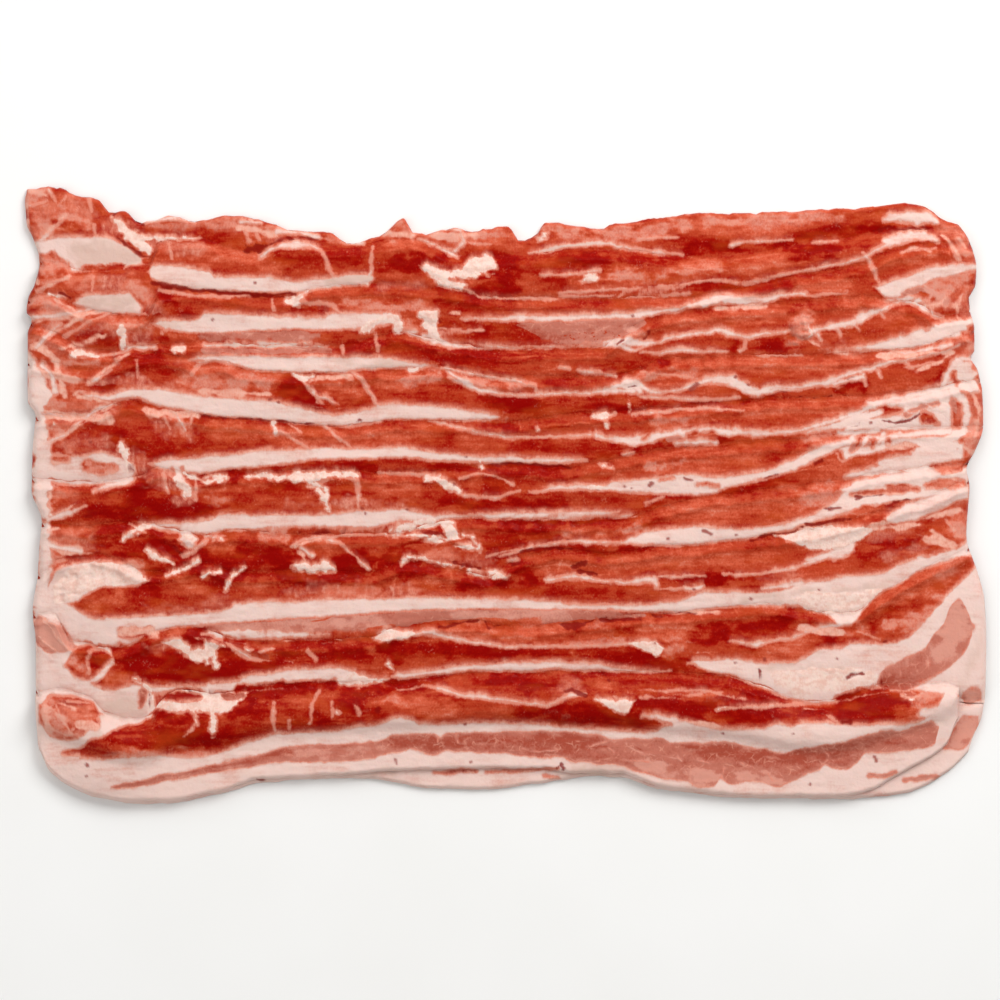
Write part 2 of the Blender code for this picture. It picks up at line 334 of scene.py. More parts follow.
class Plan:
    """The drawing: fields over the raster, each a signed distance or a strength."""

    def __init__(self):
        for name in (*FIELDS, "rise"):
            setattr(self, name, np.zeros(SHAPE))
        self.fat += FAR_FROM_FAT

    def window(self, points, reach):
        xs = [p[0] for p in points]
        ys = [p[1] for p in points]
        left = max(0, int((min(xs) - reach - RASTER_ORIGIN[0]) * RASTER))
        right = min(SHAPE[1], int((max(xs) + reach - RASTER_ORIGIN[0]) * RASTER) + 2)
        top = max(0, int((min(ys) - reach - RASTER_ORIGIN[1]) * RASTER))
        bottom = min(SHAPE[0], int((max(ys) + reach - RASTER_ORIGIN[1]) * RASTER) + 2)
        return slice(top, bottom), slice(left, right)

    def stroke(self, points):
        """The window of a stroke and, in it, the distance inside its edge (negative outside)."""
        where = self.window(points, max(p[2] for p in points) + MARK_REACH)
        x = XS[where[1]][None, :] + WANDER_X[where]
        y = YS[where[0]][:, None] + WANDER_Y[where]
        if len(points) == 1:
            px, py, width = points[0]
            return where, width - np.hypot(x - px, y - py)
        inside = np.full(x.shape, FAR_OUTSIDE)
        for (x0, y0, w0), (x1, y1, w1) in zip(points, points[1:]):
            dx, dy = x1 - x0, y1 - y0
            share = np.clip(((x - x0) * dx + (y - y0) * dy) / (dx * dx + dy * dy), 0, 1)
            away = np.hypot(x - x0 - share * dx, y - y0 - share * dy)
            width = (w0 + (w1 - w0) * share) * (1 + STROKE_UNEVENNESS * UNEVEN[where])
            inside = np.maximum(inside, width - away)
        return where, inside

    def area(self, upper, lower):
        """The window of the area between two lines and the distance inside it; its ends are round."""
        where = self.window([*upper, *lower], MARK_REACH)
        x = XS[where[1]]
        y = YS[where[0]][:, None] + WANDER_Y[where]
        above, below = smooth_line(upper, x), smooth_line(lower, x)
        start, stop = max(upper[0][0], lower[0][0]), min(upper[-1][0], lower[-1][0])
        left = np.where(start < OPEN_LEFT, 1, np.clip((x - start) / END_ROUNDING, 0, 1))
        right = np.where(stop > OPEN_RIGHT, 1, np.clip((stop - x) / END_ROUNDING, 0, 1))
        narrowed = 1 - np.sqrt(1 - (1 - np.minimum(left, right)) ** 2)
        inside = np.minimum(y - above, below - y) - narrowed * (below - above) / 2
        return where, np.minimum(inside, np.minimum(x - start, stop - x) + 0.5)

    def draw(self, kind, *lines):
        if len(lines) == 1:
            lines = ([(x, y, slimmed(kind, width)) for x, y, width in lines[0]],)
        where, inside = self.area(*lines) if len(lines) == 2 else self.stroke(*lines)
        if kind in RAGGED:
            inside = inside + RAGGED[kind] * TORN[where]
        if kind in SOFT_REACH:
            reach = SOFT_REACH[kind]
            wander = SOFT_WANDER[where] * min(MOST_WANDER, reach / SOFT_WANDER_REACH)
            self.draw_soft(kind, where, eased((inside + wander) / (2 * reach) + 0.5))
        elif kind in MATTNESS:
            self.draw_white(kind, where, inside)
        elif kind in DARK_BORDERS:
            self.draw_dark(kind, where, inside)
        else:
            self.draw_lean(kind, where, inside)

    def draw_white(self, kind, where, inside):
        full = np.clip(inside / BORDER + 0.5, 0, 1)
        self.fat[where] = np.maximum(self.fat[where], inside)
        for field in (self.pale, self.gap, self.mottle, self.speck):
            field[where] *= 1 - full
        self.chalk[where] = np.maximum(self.chalk[where], MATTNESS[kind] * full)
        if kind == "chalk":
            rise = CHALK_RISE + CHALK_UNEVENNESS * UNEVEN[where]
            self.rise[where] += rise * np.clip(inside / CHALK_SLOPE, 0, 1)
        if kind == "film":
            self.rise[where] += FILM_RISE * full
        if kind == "tatter":
            rise = TATTER_RISE * np.clip(inside / TATTER_SLOPE + TATTER_START, 0, 1)
            self.rise[where] = np.maximum(self.rise[where], rise)

    def draw_lean(self, kind, where, inside):
        full = np.clip(inside / BORDER + 0.5, 0, 1)
        self.fat[where] = np.minimum(self.fat[where], -inside)
        for field in (self.veil, self.chalk, self.gap):
            field[where] *= 1 - full
        self.pale[where] += (float(kind == "pale") - self.pale[where]) * full

    def draw_dark(self, kind, where, inside):
        softness, start = DARK_BORDERS[kind]
        field = getattr(self, kind)
        field[where] = np.maximum(field[where], np.clip(inside / softness + start, 0, 1))
        # a gap is painted shade in a crevice; here it is also dented a little
        if kind == "gap":
            self.rise[where] -= GAP_DEPTH * np.clip(inside / GAP_SLOPE + start, 0, 1)

    def draw_soft(self, kind, where, soft):
        if kind in STREAKINESS:
            self.tone[where] += STREAKINESS[kind] * soft
        if kind in TONES:
            self.tone[where] += (TONES[kind] - self.tone[where]) * soft * TONE_COVER
        if kind == "salmon":
            self.pale[where] = np.maximum(self.pale[where], SALMON_PALENESS * soft)
        if kind == "dim":
            self.dim[where] = np.maximum(self.dim[where], soft)
        if kind in VEILS:
            self.veil[where] = np.maximum(self.veil[where], VEILS[kind] * soft)
        if kind == "comb":
            fibres = 1 + COMB_CONTRAST * FIBRES[where]
            self.veil[where] = np.maximum(self.veil[where], COMB_VEIL * soft * fibres)
        if kind in MOUNDS:
            self.rise[where] += MOUNDS[kind] * soft


MARKS_01 = (
    ("salmon", (6, (30, 196), (42, 194)), (8, (38, 216), (46, 226)), (7, (66, 216), (86, 222)),
     (5, (544, 230))),
    ("bright", (5, (54, 208), (66, 202)), (8, (390, 248), (418, 248))),
    ("dark", (4, (96, 214), (104, 228)), (10, (290, 263), (314, 262)), (8, (330, 252), (352, 258)),
     (6, (384, 262), (414, 264))),
    ("film", (2.5, (50, 190), (58, 203, 1)), (1.8, (26, 208), (48, 201)),
     (2, (64, 219, 1), (54, 230), (40, 241, 3)), (0.8, (96, 226), (98, 240)), (0.7, (88, 196), (92, 212)),
     (0.8, (66, 197), (60, 207)), (1.2, (373, 248), (371, 262), (371, 273, 2), (368, 284, 3)),
     (2.2, (420, 240), (440, 248), (458, 257, 3))),
    ("fat", (((34, 241), (60, 238), (100, 237), (116, 241), (134, 252), (152, 262)), ((34, 264), (60, 266),
      (75, 272), (100, 271), (140, 265), (152, 263))), (4, (888, 216, 2), (905, 215), (925, 216))),
    ("dim", (9, (78, 252), (110, 254), (134, 260)), (3, (540, 251), (600, 245))),
    ("salmon", (3.5, (66, 252), (70, 264)), (4, (388, 236), (402, 225)), (6, (438, 234), (456, 240)),
     (7, (944, 222))),
    ("gap", (1, (112, 216), (118, 211)), (1.2, (136, 220), (143, 224)), (4, (248, 250), (260, 249)),
     (1.5, (872, 232), (888, 228), (900, 231), (912, 228), (928, 229))),
    ("chalk", (4, (112, 218, 1.5), (122, 226), (132, 236, 6), (143, 246, 6), (149, 254, 3)),
     (2.5, (140, 240), (160, 240), (180, 238, 1.5), (199, 238, 1)), (3.2, (538, 238), (546, 236))),
    ("gap", (1.4, (118, 239), (130, 248), (142, 256), (156, 260))),
    ("film", (3, (146, 221), (160, 219), (176, 218), (196, 221)),
     (2, (436, 232), (447, 227), (460, 231, 3), (464, 242, 3), (456, 252, 3))),
    ("salmon", (5, (150, 226), (190, 226))),
    ("deep", (2.5, (142, 232), (149, 231)), (3, (166, 232), (194, 233)), (2.5, (278, 257), (300, 256))),
    ("salmon", (6, (210, 226), (232, 224))),
    ("dark", (5, (206, 236), (238, 240)), (2.5, (447, 237))),
    ("deep", (2, (203, 239), (222, 245), (240, 248))),
    ("salmon", (7, (252, 230), (268, 228)), (5, (472, 236), (500, 234))),
    ("film", (2.5, (240, 222), (262, 224)), (1.2, (243, 227), (250, 243)), (1, (254, 228), (259, 240)),
     (3, (278, 232), (300, 234), (318, 236)), (0.9, (470, 243), (492, 245))),
    ("gap", (0.9, (262, 249), (275, 242), (288, 238), (296, 240), (306, 238), (318, 239))),
    ("film", (1.4, (262, 258, 3), (270, 250, 3.5), (285, 245, 4), (300, 245, 4), (312, 245, 3), (322, 252),
      (330, 268), (335, 279, 1))),
    ("salmon", (3, (330, 241), (348, 244))),
    ("film", (3, (352, 243), (362, 242))),
    ("bright", (6, (480, 246), (505, 244))),
    ("deep", (6, (446, 256), (480, 259), (505, 258))),
    ("bright", (5, (510, 248), (536, 247))),
    ("salmon", (7, (560, 234), (600, 237), (640, 231), (700, 223), (780, 220), (840, 217))),
    ("bright", (6, (700, 234), (760, 230), (800, 226))),
    ("film", (1.2, (640, 239), (676, 237)), (2, (614, 247), (640, 250), (662, 253), (684, 256, 1)),
     (1.6, (732, 247, 2.5), (746, 243), (765, 242), (792, 240, 1))),
    ("fat", (2.6, (528, 254, 1), (550, 250), (566, 246), (590, 243), (614, 246))),
    ("deep", (7, (692, 248), (715, 248), (736, 247)), (2.5, (740, 251), (765, 246), (792, 242)),
     (4, (796, 234), (830, 232, 6), (864, 227))),
    ("lean", (3, (896, 208, 2), (906, 206, 4), (914, 207, 2.5))),
    ("film", (1.5, (930, 214), (936, 224))),
)
MARKS_02 = (
    ("salmon", (7, (42, 272), (52, 278)), (5, (958, 244), (966, 258))),
    ("film", (2.2, (38, 292), (50, 285), (62, 279, 1)), (0.7, (93, 278), (94, 292)),
     (0.9, (170, 247), (174, 262)), (1.5, (541, 275), (560, 276), (580, 273), (600, 270)),
     (0.8, (560, 297), (640, 297), (690, 294)), (0.8, (812, 243), (838, 242)), (1, (950, 246), (958, 262)),
     (0.8, (905, 252), (935, 250))),
    ("bright", (6, (70, 280), (90, 276)), (4, (312, 290), (360, 290)), (6, (890, 264), (930, 258))),
    ("dark", (6, (108, 284), (132, 284)), (5, (380, 288), (420, 290)),
     (5, (560, 257), (600, 257), (640, 257))),
    ("chalk", (1.8, (50, 295), (66, 298)), (4, (420, 262, 2), (427, 268), (438, 273), (450, 276, 6),
      (462, 276, 6), (473, 270, 8), (484, 265, 9), (493, 266, 4)),
     (2.5, (436, 282, 2), (448, 287), (462, 289)), (3.6, (584, 279), (594, 278))),
    ("gap", (1.2, (62, 293), (72, 299))),
    ("fat", (((76, 298), (100, 294), (130, 294), (138, 302), (150, 313)), ((76, 308), (100, 313),
      (130, 316), (148, 319), (150, 318))), (((150, 262), (180, 266), (208, 270), (216, 277), (262, 277),
      (300, 281), (330, 278), (350, 275), (374, 275)), ((150, 282), (180, 287), (200, 290), (262, 293),
      (300, 293), (330, 288), (350, 286), (374, 286))), (1.5, (745, 284), (760, 280), (780, 276),
      (800, 271), (840, 264), (862, 258), (874, 251, 2.5), (886, 245, 2.5), (900, 241, 3.5), (915, 238, 4),
      (930, 238, 3), (937, 243, 1))),
    ("dim", (6, (88, 303), (130, 305)), (4, (330, 281), (374, 280))),
    ("salmon", (5, (134, 282), (144, 296), (154, 308)), (4, (320, 306), (420, 308))),
    ("dark", (4, (146, 310), (158, 314))),
    ("mid", (8, (165, 254), (240, 260)), (4, (210, 304), (280, 306))),
    ("dark", (3, (246, 268), (256, 269))),
    ("speck", (1.4, (256, 284))),
    ("gap", (1.9, (152, 284), (180, 288), (200, 291), (230, 294), (262, 296), (296, 296))),
    ("film", (0.9, (160, 290), (185, 294), (205, 297), (250, 297)), (1, (273, 300), (276, 314)),
     (1.2, (300, 304), (320, 303), (332, 306), (342, 315))),
    ("deep", (4, (163, 293), (174, 304), (187, 315)), (3.5, (302, 309), (328, 308)),
     (7, (440, 292), (480, 292)), (12, (508, 272), (505, 288))),
    ("chalk", (3, (288, 302, 4), (298, 302, 5), (304, 296, 2), (308, 292, 1.5))),
    ("dark", (7, (530, 268), (560, 285))),
    ("lean", (1.6, (454, 279), (464, 283))),
    ("film", (1.1, (462, 289), (480, 297), (500, 299), (560, 299, 0.8))),
    ("deep", (1.6, (560, 262), (600, 262), (650, 262), (690, 258))),
    ("salmon", (6, (620, 276), (670, 272), (720, 268))),
    ("bright", (7, (740, 266), (780, 262))),
    ("film", (1, (560, 294, 1.6), (620, 289), (650, 289), (680, 286), (700, 282), (720, 281), (745, 284))),
    ("deep", (2.5, (650, 292, 1), (690, 287), (720, 286, 4), (746, 288, 4)), (5, (796, 252), (836, 249))),
    ("dark", (5, (846, 246), (868, 242)), (7, (770, 285), (820, 279), (862, 276))),
    ("deep", (3, (756, 292), (800, 288))),
)
MARKS_03 = (
    ("salmon", (8, (40, 302), (56, 306))),
    ("fat", (3, (30, 318), (60, 317), (90, 311, 2), (104, 306, 1)),
     (1.8, (436, 340), (455, 345), (472, 348, 2.2), (490, 348), (560, 346, 0.8)), (3.4, (462, 319, 1),
      (500, 319, 2.6), (540, 319), (600, 318), (640, 316), (660, 312, 3), (682, 309, 2.4), (700, 304, 4),
      (720, 300, 5), (740, 301, 4), (760, 300), (780, 297, 3), (800, 294, 2), (830, 292), (846, 292, 1)),
      (((872, 287), (890, 281), (910, 276), (925, 269), (940, 266), (960, 264), (978, 264)), ((872, 288),
      (886, 299), (900, 297), (912, 291), (925, 284), (935, 280), (950, 277), (978, 270)))),
    ("salmon", (7, (38, 330), (54, 327)), (5, (80, 332), (94, 322)), (9, (940, 288), (965, 280))),
    ("film", (3.5, (62, 324, 1.5), (48, 337), (38, 348)), (3, (130, 348), (156, 348)),
     (1, (163, 334), (172, 326), (184, 325)), (1.4, (98, 357), (116, 354), (130, 350)),
     (1.1, (377, 337), (379, 352)), (0.9, (440, 332), (482, 330))),
    ("dark", (6, (82, 338), (100, 330)), (4, (320, 337), (354, 334)), (4, (570, 305), (600, 306))),
    ("deep", (4, (110, 339), (116, 336)), (4, (138, 338), (150, 340)), (5, (350, 344), (374, 345)),
     (5, (386, 341), (402, 340)), (4, (446, 327), (486, 334))),
    ("salmon", (4, (116, 320), (146, 324))),
    ("film", (1.2, (116, 312), (100, 318), (84, 326), (66, 338))),
    ("chalk", (3, (123, 327), (125, 338, 4), (124, 349)), (3.5, (176, 349), (183, 349)),
     (3.6, (72, 355), (84, 353), (98, 357, 2)),
     (4.5, (364, 330), (375, 325, 3), (384, 319, 3.5), (394, 321, 7), (399, 328, 4), (396, 333, 2))),
    ("bright", (5, (172, 332), (200, 342))),
    ("deep", (3, (162, 343), (170, 350))),
    ("fat", (((152, 321), (185, 320), (199, 319), (206, 313), (262, 315), (340, 314), (380, 313),
      (402, 316)), ((152, 326), (190, 333), (220, 334), (262, 331), (340, 330), (380, 327), (402, 324)))),
    ("speck", (1.3, (214, 320)), (1.5, (633, 316))),
    ("dim", (3, (162, 326), (186, 328)), (3, (205, 346), (326, 347))),
    ("pale", (((196, 335), (240, 333), (262, 332), (300, 332), (322, 333)), ((196, 341), (240, 340),
      (262, 340), (300, 340), (322, 341))),
     (((516, 323), (560, 323), (600, 321), (646, 319)), ((516, 328), (560, 344), (600, 346), (646, 328))),
     (2.4, (903, 294), (918, 289), (930, 293), (944, 302))),
    ("dark", (4, (206, 339), (226, 337)), (5, (450, 310), (490, 308)), (5, (500, 334), (536, 336))),
    ("fat", (3.4, (205, 346, 2), (262, 345), (300, 346), (326, 347, 1))),
    ("pale", (2.6, (205, 351), (262, 352), (330, 350))),
    ("salmon", (3, (408, 323), (420, 328))),
    ("film", (1.8, (404, 329), (415, 336), (430, 341))),
    ("chalk", (4.5, (424, 316), (434, 315), (428, 325, 6), (433, 334, 4), (440, 339, 2))),
    ("gap", (1.4, (437, 320), (441, 323))),
    ("mid", (5, (620, 306), (690, 302))),
    ("mottle", (((556, 334), (600, 330), (636, 334)), ((556, 347), (600, 348), (636, 350)))),
)
MARKS_04 = (
    ("salmon", (5, (70, 366), (120, 362)), (5, (630, 330), (640, 333))),
    ("dark", (6, (120, 358), (140, 354)), (7, (400, 348), (440, 356), (490, 358)),
     (4, (480, 348), (510, 354))),
    ("mid", (5, (170, 358), (180, 352)), (5, (560, 358), (620, 360))),
    ("fat", (((190, 358), (215, 355), (262, 356), (340, 357), (380, 358), (430, 363)), ((190, 361),
      (215, 361), (262, 371), (340, 373), (380, 368), (430, 368))),
     (1.8, (545, 348), (570, 345), (600, 345, 2.4), (620, 346, 4), (634, 351, 2), (650, 345, 1.5)),
     (1.6, (640, 353, 1), (660, 353), (680, 351, 2.4), (700, 352, 2.2), (725, 352)), (4, (818, 352, 1),
      (840, 351, 2), (860, 349, 3), (875, 347, 3.5), (890, 344, 5), (905, 341, 6), (925, 335, 7),
      (940, 330, 7), (960, 324, 5), (974, 321))),
    ("film", (1.2, (343, 346), (344, 358)), (1.5, (746, 338), (745, 348), (740, 352)),
     (2.5, (886, 300), (905, 300)), (0.8, (756, 355), (800, 356))),
    ("dim", (3, (345, 366), (400, 366))),
    ("bright", (6, (670, 322), (740, 318), (780, 312)), (6, (850, 304), (875, 300)),
     (5, (880, 318), (910, 322))),
    ("gap", (1.2, (643, 340), (649, 332)), (2, (619, 345), (622, 341))),
    ("fat", (2.2, (638, 346, 3), (660, 341), (680, 337), (700, 333, 2.6), (720, 331, 3), (735, 335, 3),
      (746, 338, 3), (762, 333), (790, 331, 1.4))),
    ("deep", (2.6, (735, 344), (732, 351))),
    ("dark", (5, (765, 342), (800, 340))),
    ("deep", (2.5, (770, 348), (808, 346)), (2, (796, 320), (790, 330))),
    ("tatter", (4, (803, 322, 3.5), (805, 333, 5.5))),
    ("salmon", (5, (803, 323), (806, 332)), (5, (966, 330), (968, 345)), (4, (934, 346), (948, 341))),
    ("fat", (3, (812, 331, 3), (822, 330, 2.5), (836, 326, 4), (850, 324, 4), (862, 318, 4), (876, 312),
      (890, 306, 2.4), (904, 301), (916, 301, 4), (926, 308), (935, 315, 2.5), (942, 318, 1)),
     (3, (900, 354, 2), (922, 351), (950, 345, 2))),
    ("speck", (1.6, (878, 349))),
)
MARKS_05 = (
    ("salmon", (6, (72, 384), (80, 372)), (5, (42, 402), (58, 404))),
    ("film", (2.6, (112, 370, 1.2), (98, 380), (82, 392)), (0.8, (138, 362), (141, 380)),
     (1.5, (304, 382), (311, 391), (322, 402), (330, 412)),
     (1.4, (350, 371), (362, 380), (370, 392), (376, 404)), (1.5, (580, 371), (600, 373), (615, 376)),
     (1.2, (560, 368), (570, 369)), (1, (905, 368), (940, 362)),
     (1.6, (318, 397, 1), (330, 398), (338, 405), (340, 417)), (1.4, (318, 402), (318, 418)),
     (1.4, (365, 386), (372, 396), (379, 407))),
    ("dark", (8, (120, 376), (140, 370)), (7, (160, 362), (170, 374)), (5, (272, 380), (290, 384)),
     (6, (550, 384), (590, 384))),
    ("deep", (5, (104, 388), (118, 380)), (6, (290, 390), (304, 396)), (2.5, (634, 366), (644, 370)),
     (2, (660, 364), (680, 363), (696, 360))),
    ("salmon", (6, (184, 386), (196, 384))),
    ("film", (1.6, (192, 374), (200, 363), (216, 359), (236, 365))),
    ("bright", (7, (212, 378), (240, 384)), (8, (384, 378), (402, 382)), (5, (66, 406), (92, 402))),
    ("dark", (4, (244, 374), (258, 376))),
    ("fat", (((100, 394), (140, 389), (160, 388), (180, 392), (200, 396), (262, 400), (340, 409),
      (400, 404), (440, 406), (500, 415)), ((100, 402), (140, 399), (160, 406), (180, 410), (200, 414),
      (262, 420), (340, 426), (400, 420), (440, 420), (500, 421))),
     (2.2, (344, 373), (358, 366), (376, 367)), (3.2, (836, 384), (848, 380), (862, 378)),
     (10, (962, 368), (968, 384))),
    ("chalk", (3.4, (296, 374), (304, 380), (312, 378, 2)), (2.2, (411, 371), (418, 368))),
    ("mid", (7, (330, 390), (350, 396))),
    ("salmon", (7, (410, 382), (436, 374)), (4, (966, 372), (972, 390))),
    ("dark", (6, (420, 396), (460, 398))),
    ("film", (2, (442, 368), (462, 372), (490, 377), (510, 380), (532, 387))),
    ("salmon", (5, (474, 384), (516, 388))),
    ("fat", (2, (450, 378), (464, 385), (480, 390), (500, 394), (520, 396), (560, 394), (590, 393),
      (602, 391), (614, 388, 3), (626, 383, 4), (640, 385, 4), (650, 392, 2.5), (668, 392, 1.6),
      (684, 389, 2.4), (694, 385, 2.6), (704, 382, 3.4), (716, 379, 4.5), (730, 381, 5), (744, 388, 6),
      (758, 393, 5), (768, 388, 3), (782, 388, 2.4), (800, 387, 2.4), (818, 383, 3), (830, 382, 4),
      (840, 377, 3), (852, 374, 3.4), (864, 370, 3), (878, 366, 2.6), (892, 362, 2.2), (908, 359, 2),
      (926, 356, 1.8), (944, 351, 1.6), (958, 345, 1.6))),
    ("speck", (2, (690, 390), (696, 385)), (1.8, (734, 378)), (1.4, (748, 386)), (1.4, (270, 400))),
    ("lean", (2.5, (698, 389), (708, 387))),
    ("salmon", (6, (640, 378), (690, 374))),
    ("film", (0.8, (640, 372), (692, 378))),
    ("bright", (7, (710, 370), (760, 366), (800, 368), (850, 362))),
    ("deep", (3.5, (840, 388), (856, 386)), (7, (288, 393), (302, 399)), (5, (480, 400), (505, 404)),
     (7, (512, 402), (534, 407))),
    ("gap", (1, (846, 380), (853, 378))),
    ("mid", (6, (880, 378), (930, 372))),
    ("deep", (2, (940, 374), (941, 384))),
    ("dark", (3, (262, 421), (300, 424), (345, 424))),
)
MARKS_06 = (
    ("fat", (9, (36, 404, 6), (42, 424, 8), (42, 446, 12), (46, 468, 13), (42, 492, 9), (46, 512, 6)),
      (((50, 454), (80, 456), (100, 453), (120, 457), (138, 462)), ((50, 482), (62, 484), (95, 486),
      (120, 484), (138, 478))), (4, (96, 492, 1.5), (112, 486), (132, 480)), (((150, 463), (166, 459),
      (200, 457), (240, 453), (262, 450), (300, 449), (330, 447), (360, 448), (400, 447), (440, 452),
      (480, 456), (520, 457), (560, 458), (586, 459)), ((150, 466), (166, 470), (200, 473), (240, 468),
      (262, 467), (300, 462), (320, 459), (360, 460), (400, 458), (440, 461), (480, 462), (500, 463),
      (560, 463), (586, 461))), (1.6, (430, 421, 1), (450, 425), (462, 428, 2), (482, 433, 2),
      (500, 436, 2), (520, 438), (560, 437, 1.3), (590, 434, 2)),
     (1.3, (640, 397), (660, 397), (690, 399), (716, 400), (738, 398)), (3, (676, 443), (716, 443)),
     (((832, 426), (860, 412), (900, 399), (950, 388)), ((832, 436), (860, 430), (900, 432), (950, 430)))),
    ("salmon", (6, (52, 402), (66, 404))),
    ("bright", (5, (72, 406), (96, 404)), (6, (745, 416), (790, 410), (830, 408))),
    ("fat", (2.5, (34, 415), (52, 414), (72, 418, 1))),
    ("film", (2, (86, 396), (108, 397)),
     (3, (118, 404, 2), (100, 409), (84, 420, 2), (68, 434, 2), (50, 443), (36, 452)),
     (1.8, (280, 431), (292, 438), (305, 446), (313, 450)),
     (1.5, (312, 390), (320, 398), (332, 399), (338, 406, 2), (340, 417)), (0.9, (318, 400), (318, 416)),
     (1.2, (632, 415), (650, 413, 1.6), (680, 410, 1.8), (702, 408, 1.8), (742, 411, 0.8))),
    ("salmon", (6, (48, 428), (62, 432))),
    ("chalk", (1.3, (57, 425)), (1.6, (480, 461), (481, 470)), (1.6, (536, 427), (537, 431)),
     (2.4, (594, 417, 2), (604, 416, 3.5), (613, 414, 2)), (1.5, (605, 418), (607, 426)),
     (1.8, (628, 405), (629, 411))),
    ("dark", (6, (92, 430), (106, 422)), (4, (270, 470), (310, 464), (370, 466))),
    ("deep", (4, (114, 440), (126, 434)), (3, (345, 466), (374, 469)),
     (3, (488, 466), (530, 466), (556, 466)), (8, (506, 405), (530, 406)), (2.5, (742, 398), (750, 399)),
     (1.8, (721, 442), (726, 442))),
    ("dark", (6, (128, 404), (142, 406)), (4, (384, 462), (430, 464)), (4, (560, 402), (600, 400))),
    ("mid", (6, (136, 424), (158, 420))),
    ("salmon", (7, (172, 416), (186, 428))),
    ("film", (1.5, (164, 414), (170, 430)), (2, (176, 413), (183, 424, 2.5), (188, 436, 1.2)),
     (1.4, (192, 415), (190, 430))),
    ("deep", (5, (130, 446), (150, 452), (166, 455), (182, 449)), (3.6, (438, 467), (472, 466)),
     (2, (592, 408), (620, 411), (634, 409), (660, 411), (690, 405), (713, 403))),
    ("dark", (5, (196, 444), (250, 442))),
    ("deep", (3, (204, 418), (220, 425), (238, 433))),
    ("dark", (5, (240, 430), (268, 440))),
    ("gap", (0.9, (204, 416), (262, 421), (300, 423), (330, 426), (346, 424), (360, 420)),
     (1.2, (768, 398), (778, 392), (786, 392)), (0.8, (798, 398), (830, 396)),
     (1.3, (880, 421), (892, 423), (904, 422), (914, 417), (918, 413))),
    ("lean", (5, (88, 466), (104, 469), (116, 468, 3)), (4, (58, 460), (68, 458))),
    ("salmon", (6, (94, 466), (108, 470)), (5, (58, 460), (70, 458)), (5, (650, 422), (700, 418))),
    ("speck", (1.5, (92, 442)), (1.2, (468, 457)), (1.3, (271, 400)), (1.8, (279, 403)), (1.3, (869, 424))),
    ("chalk", (3.4, (122, 442, 3), (126, 450, 4.5), (128, 462, 3.5), (130, 476, 2.5)),
     (2.6, (274, 424), (276, 433))),
    ("gap", (2.2, (130, 467), (134, 468))),
    ("film", (1, (291, 425), (302, 432)), (1.3, (322, 426), (335, 434), (345, 442), (355, 450))),
    ("bright", (7, (370, 432), (430, 436))),
    ("dark", (6, (440, 440), (450, 436))),
    ("mid", (6, (470, 446), (500, 446))),
    ("deep", (3.5, (484, 424), (510, 426))),
    ("salmon", (3, (492, 417), (506, 416))),
    ("dark", (6, (520, 446), (590, 446))),
    ("fat", (3, (596, 435, 3), (606, 438, 2), (618, 440, 4), (634, 440, 5), (650, 438, 4.5), (668, 435, 4),
      (682, 433, 5), (698, 430, 3), (714, 430, 3), (728, 432, 4), (746, 433, 3.6), (775, 434), (802, 431),
      (820, 424), (840, 419, 3.4), (856, 413, 4), (872, 406, 4), (892, 400, 4), (912, 395, 4),
      (932, 391, 4), (950, 386, 5))),
    ("lean", (3, (687, 435, 2.4), (694, 433, 3)), (3, (706, 436), (712, 434)),
     (1.8, (643, 438), (648, 434)), (4, (806, 440, 2), (816, 437), (830, 434, 3), (842, 430, 1.2)),
     (3.4, (870, 417, 1.6), (882, 413, 4), (893, 411, 4)), (6, (924, 420), (934, 422, 4))),
    ("pale", (2.2, (668, 441), (678, 438)), (3.4, (904, 415, 2), (920, 407, 1.5), (936, 404, 1.5)),
     (3, (952, 402), (955, 412))),
    ("deep", (1.8, (606, 456), (620, 450), (640, 450), (660, 447), (680, 447))),
    ("film", (2, (622, 455), (632, 453))),
    ("salmon", (4, (808, 440), (826, 436))),
    ("gap", (1.1, (846, 427), (859, 423))),
)
